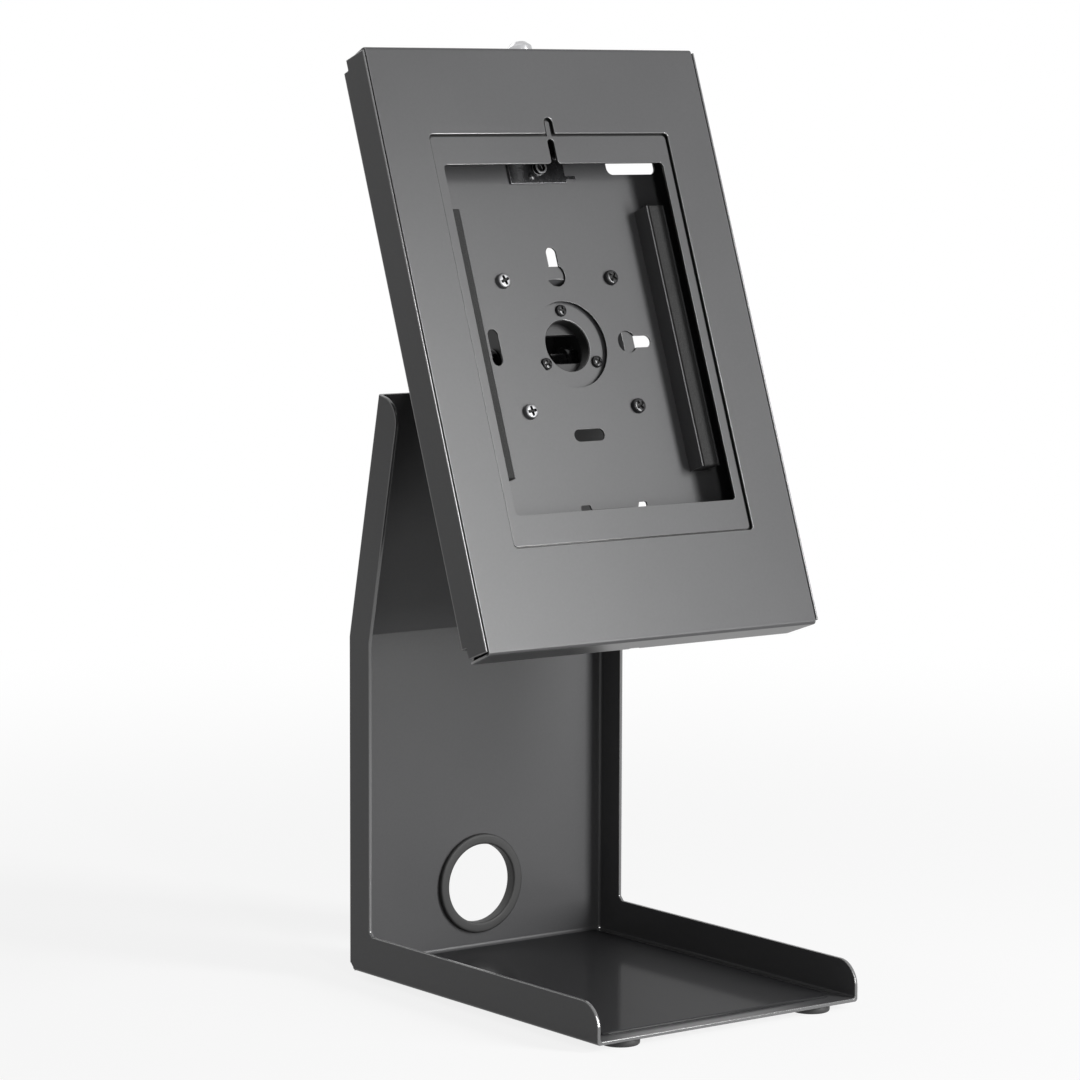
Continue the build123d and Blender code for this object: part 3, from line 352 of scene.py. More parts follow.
def folded(name, node, body, coat, edge_coat, round_mm, fine=None):
    """A copy of a CAD sheet part: its triangles are welded and its flat faces joined.

    Each sharp edge gets a round. The rounds and the narrow cut faces have a coat of their own.
    Edges in the box `fine`, (low, high) in mm about the face, get a small share of the round.
    """
    mesh = bpy.data.meshes.new(name)
    work = bmesh.new()
    work.from_mesh(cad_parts[node].data)
    work.transform(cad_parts[node].matrix_world)
    bmesh.ops.remove_doubles(work, verts=work.verts, dist=CAD_WELD)
    bmesh.ops.dissolve_degenerate(work, edges=work.edges, dist=CAD_WELD / 2)
    bmesh.ops.dissolve_limit(
        work, angle_limit=radians(0.4), verts=work.verts, edges=work.edges,
        use_dissolve_boundaries=False,
    )
    share = work.edges.layers.float.new("bevel_weight_edge") if fine else None
    for face in work.faces:
        sharp = [edge for edge in face.edges if edge.calc_face_angle(0) > SHEET_SHARP]
        length = sum(edge.calc_length() for edge in sharp)
        face.material_index = int(2 * face.calc_area() < CUT_WIDTH * length)
        for edge in sharp if fine else ():
            middle = (edge.verts[0].co + edge.verts[1].co) / 2
            edge[share] = FINE_SHARE if in_box(middle, *fine) else 1.0
    work.to_mesh(mesh)
    work.free()
    made = placed(name, mesh, node, body, coat, sharp=32)
    made.data.materials.append(edge_coat)
    bevel = made.modifiers.new("paint round", "BEVEL")
    bevel.limit_method = "WEIGHT" if fine else "ANGLE"
    bevel.angle_limit = SHEET_SHARP
    bevel.width = round_mm * MM
    bevel.use_clamp_overlap = False
    bevel.segments = 3
    bevel.material = 1
    bevel.miter_outer = "MITER_ARC"
    made.modifiers.new("even shading", "WEIGHTED_NORMAL").keep_sharp = False
    return made


def face_middles(mesh):
    """The middle of every face, one row each."""
    middles = np.empty(3 * len(mesh.polygons), np.float32)
    mesh.polygons.foreach_get("center", middles)
    return middles.reshape(-1, 3)


def painted_shade_faces(made, *boxes):
    """Gives the faces whose middles lie in a box, in mm about the face, painted shade: the recess
    finish.
    """
    made.data.materials.append(finish("recess"))
    kinds = np.empty(len(made.data.polygons), np.int32)
    made.data.polygons.foreach_get("material_index", kinds)
    middles = face_middles(made.data)
    for low, high in boxes:
        kinds[in_box(middles, low, high)] = len(made.data.materials) - 1
    made.data.polygons.foreach_set("material_index", kinds)


def cut(made, shape):
    """Takes a shape out of a piece's mesh, before its edges are rounded."""
    tool = linked("cutter", solid_mesh("cutter", shape))
    whole = linked("whole", made.data)
    whole.modifiers.new("cut", "BOOLEAN").object = tool
    view = bpy.context.evaluated_depsgraph_get()
    made.data = bpy.data.meshes.new_from_object(whole.evaluated_get(view))
    bpy.data.objects.remove(whole)
    bpy.data.objects.remove(tool)


# Shader maths


class Wire:
    """A shader socket that takes part in sums; each operation adds one Math node."""

    def __init__(self, nodes, socket):
        self.nodes = nodes
        self.socket = socket

    def math(self, operation, first, second):
        return self.nodes.node("ShaderNodeMath", {"operation": operation}, {0: first, 1: second})

    def __add__(self, other):
        return self.math("ADD", self, other)

    def __mul__(self, other):
        return self.math("MULTIPLY", self, other)

    __radd__ = __add__
    __rmul__ = __mul__

    def above(self, level, width):
        """0 below a level and 1 above it, over a soft width."""
        return self.nodes.node(
            "ShaderNodeMapRange",
            {"interpolation_type": "SMOOTHSTEP"},
            {"Value": self, "From Min": level - width, "From Max": level + width},
        )


class Nodes:
    """A node tree and the one way in which nodes are added to it."""

    def __init__(self, owner):
        owner.use_nodes = True
        self.tree = owner.node_tree

    def node(self, kind, settings=None, sockets=None, out=0):
        """Adds a node: its settings first, then a value or a link for each socket named."""
        made = self.tree.nodes.new(kind)
        for key, value in (settings or {}).items():
            setattr(made, key, value)
        for key, value in (sockets or {}).items():
            self.join(value, made.inputs[key])
        return Wire(self, made.outputs[out])

    def join(self, value, socket):
        """Links a wire to a socket, or sets the socket to a plain value."""
        if isinstance(value, Wire):
            self.tree.links.new(value.socket, socket)
        else:
            socket.default_value = value

    def shown(self):
        """1 for a ray that shows the surroundings: from the camera, off gloss or through glass."""
        kinds = ("Is Camera Ray", "Is Glossy Ray", "Is Transmission Ray")
        camera, gloss, glass = [self.node("ShaderNodeLightPath", out=kind) for kind in kinds]
        return camera.math("MAXIMUM", camera.math("MAXIMUM", camera, gloss), glass)


class Finish(Nodes):
    """A material and the nodes that make it vary over the surface."""

    def __init__(self, name, colour, roughness, metallic=0.0):
        self.material = bpy.data.materials.new(name)
        super().__init__(self.material)
        self.material.diffuse_color = shade(colour)
        self.shader = self.tree.nodes["Principled BSDF"]
        self.surface = Wire(self, self.shader.outputs[0])
        self.put("Base Color", shade(colour))
        self.put("Roughness", roughness)
        self.put("Metallic", metallic)
        self.spot = self.node("ShaderNodeTexCoord", out="Object")

    def put(self, socket, value):
        """Gives the main shader a value or a link."""
        self.join(value, self.shader.inputs[socket])

    def noise(self, scale, detail, stretch=None):
        """Cloudy noise, with so many spots to a metre."""
        spot = self.spot
        if stretch:
            spot = self.node("ShaderNodeMapping", None, {"Vector": spot, "Scale": stretch})
        sockets = {"Vector": spot, "Scale": scale, "Detail": detail}
        return self.node("ShaderNodeTexNoise", None, sockets)

    def blend(self, share, first, second):
        """A colour between two, by a share from 0 to 1."""
        sockets = {0: share, 6: first, 7: second}
        return self.node("ShaderNodeMix", {"data_type": "RGBA"}, sockets, out=2)

    def mixed(self, share, first, second):
        """Sends a mix of two shaders to the surface."""
        mix = self.node("ShaderNodeMixShader", None, {0: share, 1: first, 2: second})
        self.join(mix, self.tree.nodes["Material Output"].inputs["Surface"])

    def bump(self, height, depth_mm, strength):
        """Tilts the normals as if the surface rose by up to a depth."""
        sockets = {"Height": height, "Distance": depth_mm * MM, "Strength": strength}
        self.put("Normal", self.node("ShaderNodeBump", None, sockets))


def shade(colour, factor=1.0):
    """A colour made lighter or darker."""
    return (*[channel * factor for channel in colour[:3]], 1)


def powder_coat(name, colour, roughness, sheen=0.25):
    """Sprayed powder paint.

    An orange-peel skin a millimetre or two across, with a faint cloud in colour and gloss.
    """
    paint = Finish(name, colour, roughness)
    cloud = paint.noise(11, 3)
    peel = paint.noise(620, 2)
    speck = paint.noise(2300, 1)
    share = cloud * 0.5 + peel * 0.35 + speck * 0.15
    paint.put("Base Color", paint.blend(share, shade(colour, 0.84), shade(colour, 1.16)))
    paint.put("Roughness", roughness - 0.03 + cloud * 0.06)
    paint.put("Specular IOR Level", sheen)
    paint.bump(peel * 0.7 + speck * 0.3, 0.02, 0.25)
    return paint.material


def smooth_plastic(name, colour, roughness):
    """Sheet plastic with a thin gloss over a matt body, faint wipe marks and fine grain."""
    sheet = Finish(name, colour, roughness)
    wipe = sheet.noise(22, 4, (1.0, 0.25, 1.0))
    body = sheet.blend(wipe, shade(colour, 0.8), shade(colour, 1.25))
    sheet.put("Base Color", body)
    sheet.put("Roughness", roughness - 0.03 + wipe * 0.07)
    sheet.bump(sheet.noise(1500, 2), 0.004, 0.3)
    sockets = {"Base Color": body, "Roughness": 0.6, "Specular IOR Level": 0.1}
    matt = sheet.node("ShaderNodeBsdfPrincipled", None, sockets)
    sheet.mixed(MATT_SHARE, sheet.surface, matt)
    return sheet.material


def moulded_rubber(name, colour):
    """Soft rubber: matt, a little lighter where it is rubbed, with a fine pitted skin."""
    rubber = Finish(name, colour, 0.6)
    pits = rubber.noise(1800, 3)
    rubbed = rubber.noise(60, 3)
    rubber.put("Base Color", rubber.blend(rubbed, shade(colour, 0.7), shade(colour, 1.6)))
    rubber.put("Roughness", 0.5 + rubbed * 0.2)
    rubber.bump(pits, 0.05, 0.6)
    return rubber.material


def foam_skin(name, colour):
    """Closed-cell foam strip: round cells under half a millimetre across, dark in the middle."""
    foam = Finish(name, colour, 0.8)
    foam.put("Specular IOR Level", 0.15)
    cells = foam.node("ShaderNodeTexVoronoi", None, {"Vector": foam.spot, "Scale": 1500.0})
    share = cells * 0.7 + foam.noise(90, 2) * 0.3
    foam.put("Base Color", foam.blend(share, shade(colour, 0.7), shade(colour, 1.5)))
    foam.bump(cells, 0.2, 0.7)
    return foam.material


def plated_steel(name, colour, roughness, tint=0.12):
    """Plated steel: a metal with cloudy plating and fine scratches one way."""
    metal = Finish(name, colour, roughness, 1.0)
    cloud = metal.noise(180, 3)
    lines = metal.noise(700, 2, (1.0, 6.0, 6.0))
    metal.put("Base Color", metal.blend(cloud, shade(colour, 1 - tint), shade(colour, 1 + tint)))
    metal.put("Roughness", roughness - 0.06 + lines * 0.12 + cloud * 0.06)
    metal.bump(lines, 0.01, 0.35)
    return metal.material


def dark_steel(name, colour, roughness):
    """Blackened steel: dark and half glossy, with a cloud in the oxide."""
    oxide = Finish(name, colour, roughness, 0.35)
    cloud = oxide.noise(240, 3)
    oxide.put("Base Color", oxide.blend(cloud, shade(colour, 0.7), shade(colour, 1.7)))
    oxide.put("Roughness", roughness - 0.05 + cloud * 0.12)
    oxide.bump(oxide.noise(1900, 2), 0.015, 0.4)
    return oxide.material


def slick_plastic(name, colour):
    """Bearing plastic: waxy, with a faint mottle."""
    wax = Finish(name, colour, 0.38)
    mottle = wax.noise(160, 3)
    wax.put("Base Color", wax.blend(mottle, shade(colour, 0.9), shade(colour, 1.1)))
    wax.put("Roughness", 0.33 + mottle * 0.1)
    wax.bump(wax.noise(1300, 2), 0.01, 0.4)
    return wax.material


# Sizes and colours that a user may change


class CounterStandLooks(bpy.types.PropertyGroup):
    """Colours of the finishes"""

    paint: bpy.props.FloatVectorProperty(
        name="Paint", description="Powder coat of all folded steel", subtype="COLOR", size=3,
        min=0, max=1, default=(0.07, 0.07, 0.072),
    )
    # Lighter than the paint: partly the thin coat on cut edges, partly a painted highlight along
    # every rounded edge.
    paint_edge_and_highlight: bpy.props.FloatVectorProperty(
        name="Paint on edges", description="Thin powder coat on the cut edges of the sheets",
        subtype="COLOR", size=3, min=0, max=1, default=(0.12, 0.12, 0.122),
    )
    hinge_colour: bpy.props.FloatVectorProperty(
        name="Hinge paint", description="Black coat of the hub, the yoke and their base",
        subtype="COLOR", size=3, min=0, max=1, default=(0.014, 0.014, 0.0145),
    )
    # Painted shade: near-black put on cross recess floors and on the walls of bores, holes, window
    # and groove.
    recess_shade_colour: bpy.props.FloatVectorProperty(
        name="Screw recess", description="Dark floor of the cross recesses", subtype="COLOR",
        size=3, min=0, max=1, default=(0.004, 0.004, 0.004),
    )
    tray_colour: bpy.props.FloatVectorProperty(
        name="Tray sheet", description="Glossy sheet on the floor of the tray", subtype="COLOR",
        size=3, min=0, max=1, default=(0.014, 0.014, 0.015),
    )
    rubber_colour: bpy.props.FloatVectorProperty(
        name="Rubber", description="Feet and cable grommet", subtype="COLOR", size=3,
        min=0, max=1, default=(0.02, 0.02, 0.02),
    )
    foam_colour: bpy.props.FloatVectorProperty(
        name="Foam", description="Foam strips behind the tablet", subtype="COLOR", size=3,
        min=0, max=1, default=(0.03, 0.03, 0.03),
    )
    zinc_colour: bpy.props.FloatVectorProperty(
        name="Zinc plate", description="Bright screws, nuts and washers", subtype="COLOR", size=3,
        min=0, max=1, default=(0.2, 0.2, 0.205),
    )
    chrome_colour: bpy.props.FloatVectorProperty(
        name="Lock plate", description="Bright plating of the lock head", subtype="COLOR", size=3,
        min=0, max=1, default=(0.5, 0.5, 0.51),
    )
    # It also blackens the right pair of plate screws, zinc like the left pair: there it is painted
    # shade.
    black_colour: bpy.props.FloatVectorProperty(
        name="Blackened steel", description="Lock bracket and dark screws", subtype="COLOR",
        size=3, min=0, max=1, default=(0.016, 0.016, 0.017),
    )
    bearing_colour: bpy.props.FloatVectorProperty(
        name="Bearing plastic", description="Thin washers of the tilt and the swivel",
        subtype="COLOR", size=3, min=0, max=1, default=(0.1, 0.1, 0.105),
    )
    floor_colour: bpy.props.FloatVectorProperty(
        name="Floor", description="Plain studio floor", subtype="COLOR", size=3,
        min=0, max=1, default=(0.9, 0.9, 0.9),
    )


class CounterStandSizes(bpy.types.PropertyGroup):
    """Small sizes, the floor, the lamps and the lens"""

    edge_round: bpy.props.FloatProperty(
        name="Edge round", description="Radius of the paint over a cut edge of a sheet",
        default=0.45 * MM, min=0, max=1 * MM, unit="LENGTH",
    )
    recess_arm: bpy.props.FloatProperty(
        name="Cross width", description="Half width of a cross recess as a share of its head",
        default=0.17, min=0.05, max=0.3, subtype="FACTOR",
    )
    floor_size: bpy.props.FloatProperty(
        name="Floor size", description="Edge length of the studio floor",
        default=12.0, min=1, max=40, unit="LENGTH",
    )
    key_light: bpy.props.FloatProperty(
        name="Key light", description="Power of the large light at the front", default=37.5,
        min=0, max=1000, unit="POWER",
    )
    edge_light: bpy.props.FloatProperty(
        name="Edge light", description="Power of the narrow light that draws lines along edges",
        default=6.0, min=0, max=1000, unit="POWER",
    )
    back_light: bpy.props.FloatProperty(
        name="Back light", description="Power of the soft light behind", default=8.0,
        min=0, max=1000, unit="POWER",
    )
    fill_light: bpy.props.FloatProperty(
        name="Fill light", description="Power of the light from above", default=4.0,
        min=0, max=1000, unit="POWER",
    )
    air_light: bpy.props.FloatProperty(
        name="Air light", description="Strength of the even light from all round", default=0.08,
        min=0, max=1, subtype="FACTOR",
    )
    lens: bpy.props.FloatProperty(
        name="Lens", description="Focal length on a 36 mm sensor", default=135.15,
        min=20, max=400, unit="CAMERA",
    )


finishes = {}  # the materials made so far, by kind of surface


def looks():
    """The colours set for this scene."""
    return bpy.context.scene.counter_stand_looks


def sizes():
    """The sizes set for this scene."""
    return bpy.context.scene.counter_stand_sizes


def finish(name):
    """The material for a kind of surface, made the first time it is asked for."""
    if name not in finishes:
        look = looks()
        makers = {
            "paint": lambda: powder_coat("powder_coat", look.paint, 0.3),
            # Lighter edge coat: partly thin paint on edges, partly a painted highlight along them.
            "paint_edge_and_highlight": lambda: powder_coat("powder_coat_edge_and_highlight", look.paint_edge_and_highlight, 0.13, sheen=1.0),
            "hinge": lambda: powder_coat("hinge_coat", look.hinge_colour, 0.42, sheen=0.3),
            # Painted shade: the recess finish darkens recesses, bores, cut walls and the groove
            # where shade falls.
            "recess": lambda: dark_steel("painted_recess_shade", look.recess_shade_colour, 0.6),
            "tray": lambda: smooth_plastic("tray_sheet_plastic", look.tray_colour, 0.09),
            "rubber": lambda: moulded_rubber("soft_rubber", look.rubber_colour),
            "foam": lambda: foam_skin("foam_strip", look.foam_colour),
            "zinc": lambda: plated_steel("zinc_plate", look.zinc_colour, 0.4),
            "chrome": lambda: plated_steel("lock_plating", look.chrome_colour, 0.2, 0.05),
            "black": lambda: dark_steel("blackened_steel", look.black_colour, 0.17),
            "bearing": lambda: slick_plastic("bearing_plastic", look.bearing_colour),
        }
        finishes[name] = makers[name]()
    return finishes[name]


def folded_paint(name, node, body, kind="paint", share=1.0, fine=None):
    """A folded sheet in paint, whose edges have a share of the usual round."""
    # Painted sheets take the lighter edge coat: partly thin paint, partly a painted highlight.
    edge_coat = finish("paint_edge_and_highlight" if kind == "paint" else kind)
    round_mm = share * sizes().edge_round / MM
    return folded(name, node, body, finish(kind), edge_coat, round_mm, fine)


def hardware(name, node, body, kind, shape, places, sunk=None, shaded_from=None):
    """The same small part, given in millimetres about its seat, at every place it is used.

    Faces within `sunk`, which is (reach, low, high) about each seat, get the recess finish: painted
    shade in the recess. The parts from the number in the last argument on are blackened: painted
    shade on copies of the same part.
    """
    mesh = solid_mesh(name, set_at(places, shape))
    made = placed(name, mesh, node, body, finish(kind))
    if sunk:
        reach, low, high = sunk
        middles = face_middles(mesh)
        kinds = np.zeros(len(middles), np.int32)
        mesh.materials.append(finish("recess"))
        if shaded_from:
            mesh.materials.append(finish("black"))
            kinds[len(kinds) // len(places) * shaded_from :] = 2
        for place in places:
            x, y, z = (place.local(middles) / MM).T
            kinds[(np.hypot(x, y) < reach) & (z > low) & (z < high)] = 1
        mesh.polygons.foreach_set("material_index", kinds)
    return made


def dressed(node, kind):
    """A CAD node that stays, with a finish in each of its material slots."""
    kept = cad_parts[node]
    if not kept.material_slots:
        kept.data.materials.append(finish(kind))
    for held in kept.material_slots:
        held.material = finish(kind)


class Builder:
    """What all makers share: they run once, and can be undone."""

    bl_options = {"REGISTER", "UNDO"}

    def execute(self, context):
        self.make()
        return {"FINISHED"}


class COUNTERSTAND_OT_bracket(Builder, bpy.types.Operator):
    """Folded stand: tray, back plate and leaning plate with their side flanges"""

    bl_idname = "counterstand.bracket"
    bl_label = "Stand Bracket"

    def make(self):
        folded_paint("stand_sheet", "stand_bracket", "stand")


class COUNTERSTAND_OT_feet(Builder, bpy.types.Operator):
    """Four rubber feet: a turned dome-edged disc with a shallow ring underneath"""

    bl_idname = "counterstand.feet"
    bl_label = "Feet"

    def make(self):
        profile = [
            (0, 0.9), (3.2, 0.9), (3.9, 0.5), (4.4, 0.05), (5, 0), (9.4, 0), (10.1, 0.15),
            (10.55, 0.55), (10.72, 1.2), (10.75, 2.2), (10.62, 3.2), (10.4, 3.75), (10.3, 4),
            (0, 4),
        ]
        places = [TRAY.at(x, y) for x in (-0.066, 0.066) for y in (0.102625, -0.105375)]
        hardware(
            "foot_pads", "rubber_feet", "stand", "rubber",
            turned(profile, 64), places,
        )


class COUNTERSTAND_OT_tray_sheet(Builder, bpy.types.Operator):
    """Glossy sheet on the tray floor: a slab with two round front corners and rolled edges"""

    bl_idname = "counterstand.tray_sheet"
    bl_label = "Tray Sheet"

    def make(self):
        low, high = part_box("tray_mat")
        half_x, half_y = (high[0] - low[0]) / 2, (high[1] - low[1]) / 2
        middle = TRAY.at((low[0] + high[0]) / 2, (low[1] + high[1]) / 2)
        roll, under, top = 0.35 * MM, low[2], high[2]
        rows = [(0, under, 0), (0, under, 1), (0, top - roll, 1), (0.1 * MM, top - 0.1 * MM, 1)]
        rows += [(roll, top, scale) for scale in (1, 0.98, 0.8, 0.4, 0)]
        radii = [radius * MM for radius in (1, 1, 7, 7)]
        points, faces = rounded_slab(half_x, half_y, radii, rows)
        mesh = solid_mesh("tray_liner", (middle.points(points), faces))
        placed("tray_liner", mesh, "tray_mat", "stand", finish("tray"), sharp=40)


class COUNTERSTAND_OT_grommet(Builder, bpy.types.Operator):
    """Cable grommet: a C-shaped section turned about the hole, with a groove for the sheet"""

    bl_idname = "counterstand.grommet"
    bl_label = "Cable Grommet"

    def make(self):
        corners = [(23, -4.75), (29, -4.75), (29, -2), (25.9, -2)]
        corners += [(25.9, 0), (29, 0), (29, 2.75), (23, 2.75)]
        cuts = [1.3, 1.5, 0.3, 0.1, 0.1, 0.3, 1.5, 1.3]
        hardware(
            "grommet_ring", "cable_grommet", "stand", "rubber",
            turned(softened(corners, cuts, 6), 96, ring=True),
            [Place((0, BACK_Y, 0.0438), ACROSS, (0, 1, 0))],
        )


class COUNTERSTAND_OT_hinge(Builder, bpy.types.Operator):
    """Tilt hinge: base channel, yoke and their bolts, nuts, washers and stop screws"""

    bl_idname = "counterstand.hinge"
    bl_label = "Tilt Hinge"

    def make(self):
        folded_paint("hinge_base_sheet", "hinge_base_bracket", "stand", "hinge")
        folded_paint("tilt_yoke_sheet", "tilt_yoke", "tilt_head", "hinge")
        dressed("tilt_friction_washers", "bearing")
        sides = [Place(PIVOT, PLATE_UP, outward) for outward in (-ACROSS, ACROSS)]
        bolt = joined(hexagon_head(13, 5.3), washer(3.9, 6.2, 0.25, 0.05), shank(4, 24.4, 0.6))
        hardware(
            "pivot_bolt_set", "pivot_bolts", "stand", "black", bolt,
            [place.at(0, 0, 32.55 * MM) for place in sides],
        )
        hardware(
            "pivot_washer_set", "pivot_washers", "stand", "black",
            washer(4.05, 8, 1.5), [place.at(0, 0, 31.05 * MM) for place in sides],
        )
        hardware(
            "pivot_nut_set", "pivot_nuts", "stand", "black",
            hexagon_head(13, 6.5, 4.04), [place.at(0, 0, 17.5 * MM) for place in sides],
        )
        hardware(
            "stop_screw_set", "stop_screws", "stand", "black",
            cross_head_screw(3.5, 2.2, 2, 8.3),
            [place.at(-12.75 * MM, 0, 31.3 * MM) for place in sides],
        )
        spots = [(x, s) for x in (-0.015, 0.015) for s in (0.0965, 0.1265)]
        behind = Place(PLATE_FOOT, ACROSS, -PLATE_FRONT)
        hardware(
            "mount_screw_set", "hinge_mount_screws", "stand", "black",
            socket_head_screw(4.75, 2.75, 3, 2.5, 10), [behind.at(x, -s) for x, s in spots],
        )
        hardware(
            "mount_nut_set", "hinge_mount_nuts", "stand", "zinc",
            hexagon_head(8, 4, 2.54), [PLATE.at(x, s, 5 * MM) for x, s in spots],
        )


class COUNTERSTAND_OT_swivel(Builder, bpy.types.Operator):
    """Swivel: hub, washers, retaining ring and the dished mounting plate with its screws"""

    bl_idname = "counterstand.swivel"
    bl_label = "Swivel"

    def make(self):
        hub = folded_paint(
            "swivel_hub_disc", "swivel_hub", "tilt_head", "hinge", share=0.3
        )
        # Painted shade on the walls of the hub's bore.
        painted_shade_faces(hub, ((-17, -13, -80), (17, 21, -24.6)))
        ring = folded_paint(
            "swivel_ring", "retaining_ring", "tilt_head", share=0.25
        )
        # Painted shade on the ring's bore walls and back.
        painted_shade_faces(ring, ((-40, -36, -40), (40, 44, -24.6)))
        folded_paint("dished_plate", "vesa_plate", "enclosure", share=0.25)
        dressed("front_bearing_washer", "bearing")
        dressed("rear_bearing_washer", "bearing")
        arm = sizes().recess_arm
        spokes = [FACE.at(0, 4 * MM, -24.5 * MM).turned(angle) for angle in (90, 210, 330)]
        # Painted shade: the cross recesses of these screws get the near-black recess finish.
        hardware(
            "ring_screw_set", "ring_screws", "tilt_head", "black",
            cross_head_screw(3.5, 2.2, 2, 11.5, arm, crown=5.0),
            [place.at(20.2 * MM, 0) for place in spokes], (2.3, 0.1, 1.95),
        )
        # Painted shade: the right pair of these zinc screws is blackened, and their cross recesses
        # get the recess finish.
        spots = [(-37.5, 41.5, 20), (-37.5, -33.5, 8), (37.5, 41.5, 55), (37.5, -33.5, 35)]
        hardware(
            "plate_screw_set", "vesa_screws", "enclosure", "zinc",
            cross_head_screw(4.4, 2.8, 2, 4.7, arm, crown=9.0),
            [FACE.at(x * MM, y * MM, -21.8 * MM).turned(turn) for x, y, turn in spots],
            (2.9, 0.1, 2.6), shaded_from=2,
        )


class COUNTERSTAND_OT_housing(Builder, bpy.types.Operator):
    """Rear housing with its pad rails and foam strips"""

    bl_idname = "counterstand.housing"
    bl_label = "Rear Housing"

    def make(self):
        housing = folded_paint(
            "housing_sheet", "rear_housing", "enclosure",
            fine=((-100, -140, -23.2), (100, 150, -21.7)),
        )
        # Painted shade on the cut walls of the back panel's holes.
        painted_shade_faces(housing, ((-100, -140, -22.95), (100, 150, -21.85)))
        coat = finish("paint")
        rows = [(0, -20.8, 0), (0, -20.8, 1), (0, -10.6, 1), (0.15, -9.9, 1), (0.5, -9.45, 1)]
        rows += [(1.1, -9.3, 1), (1.1, -9.3, 0.6), (1.1, -9.3, 0)]
        shape = rounded_slab(5.15, 76.5, (0.6, 0.6, 0.6, 0.6), rows)
        for side in ("left", "right"):
            folded(
                side + "_rail_sheet", side + "_pad_rail", "enclosure",
                coat, coat, 0.2,
            )
        for side, x in (("left", -70.75 * MM), ("right", 70.75 * MM)):
            strip = hardware(
                side + "_foam_strip", side + "_foam_pad", "enclosure", "foam",
                shape, [FACE.at(x, 3.5 * MM)],
            )


class COUNTERSTAND_OT_lock_bracket(Builder, bpy.types.Operator):
    """Lock bracket and the domed rivets that hold it on the back panel"""

    bl_idname = "counterstand.lock_bracket"
    bl_label = "Lock Bracket"

    def make(self):
        folded(
            "lock_bracket_sheet", "lock_bracket", "enclosure",
            finish("black"), finish("zinc"), 0.2,
        )
        dome = [(2.4 * cos(a), sin(a)) for a in np.linspace(pi / 2, 0, 8)]
        spots = [(-3.2, 101.4), (15.5, 113.0), (-13.5, 118.0), (3.0, 133.0)]
        hardware(
            "bracket_rivet_set", "bracket_rivets", "enclosure", "black",
            turned(dome + [(0, 0)], 32), [FACE.at(x * MM, y * MM, -20.3 * MM) for x, y in spots],
        )


class COUNTERSTAND_OT_cover(Builder, bpy.types.Operator):
    """Front cover and the adapter frame behind its window"""

    bl_idname = "counterstand.cover"
    bl_label = "Front Cover"

    def make(self):
        cover = folded_paint("cover_sheet", "front_cover", "cover")
        # Painted shade on the window's cut walls and on the cover's cut side edges.
        sides = [((x - 1, -168, -1.4), (x + 1, 168, -0.1)) for x in (-113.1, 113.1)]
        painted_shade_faces(cover, ((-84, -115, -1.4), (84, 131, -0.1)), *sides)
        adapter = folded_paint(
            "adapter_sheet", "adapter_frame", "cover", share=0.5
        )
        cut(adapter, set_at([FACE], self.rim_groove()))
        # Painted shade on the faces of the rim groove and the cut walls inside it.
        painted_shade_faces(adapter, ((-88, -120, -2.95), (88, 135, -1.6)))
        behind = Place(FACE_MIDDLE - 3 * MM * FACE_FRONT, ACROSS, -FACE_FRONT)
        spots = [(x, y) for x in (-92, 92) for y in (-97, 103)]
        hardware(
            "adapter_nut_set", "adapter_nuts", "cover", "zinc",
            hexagon_head(5.5, 2.4, 1.54), [behind.at(x * MM, -y * MM) for x, y in spots],
        )

    def rim_groove(self):
        """A groove in the adapter under the edge of the window and of its notch.

        It runs between an outline 2.5 mm outside that edge and one 1.1 mm inside it.
        """
        outlines = []
        for out, notch_out in ((2.5, 2.0), (-1.1, -1.5)):
            x, low, high = 82.65 + out, -113.6 - out, 119.6 + out
            slot, top = 3 + notch_out, 129 + notch_out
            corners = [(-x, low), (x, low), (x, high), (slot, high), (slot, top)]
            corners += [(-slot, top), (-slot, high), (-x, high)]
            outlines.append(softened(corners, [2.4, 2.4, 2.4, 0.5, slot, slot, 0.5, 2.4]))
        rows = [(0, -1.4), (1, -1.4), (1, -2.7), (0, -2.7)]
        points = [np.column_stack([outlines[k], np.full(len(outlines[k]), z)]) for k, z in rows]
        return np.concatenate(points), quads(4, len(outlines[0]), round_rows=True)


class COUNTERSTAND_OT_lock(Builder, bpy.types.Operator):
    """Cam lock: bevelled head, keyed plug, nut, cam and screw"""

    bl_idname = "counterstand.lock"
    bl_label = "Cam Lock"

    def make(self):
        corners = [(3.35, 7), (3.35, -18), (6, -18), (6, 0), (7.25, 0), (7.25, 4.2), (4.45, 7)]
        cuts = [0.2, 0.2, 0.5, 0.1, 0.15, 0.5, 0.4]
        hardware(
            "lock_head", "lock_barrel", "cover", "chrome",
            turned(softened(corners, cuts, 4), 64, ring=True), [LOCK],
        )
        hardware(
            "lock_nut_ring", "lock_nut", "cover", "zinc",
            hexagon_head(15, 3, 6.04), [LOCK.at(0, 0, -4.5 * MM)],
        )
        face = recessed_head(3.3, 0.5, slot_recess(0.2, 0.76, 3.0), 8.0)
        hardware(
            "lock_plug", "key_plug", "key", "chrome",
            joined(shank(3.3, 25.05, 0.2, 48), face), [LOCK.at(0, 0, 6.25 * MM)],
        )
        dressed("lock_cam", "zinc")
        under = Place(LOCK.points([0, 0, -20.3 * MM]), ACROSS, -FACE_UP)
        hardware(
            "cam_screw_head", "cam_screw", "key", "zinc",
            cross_head_screw(2.75, 1.8, 1.5, 5.5), [under],
        )


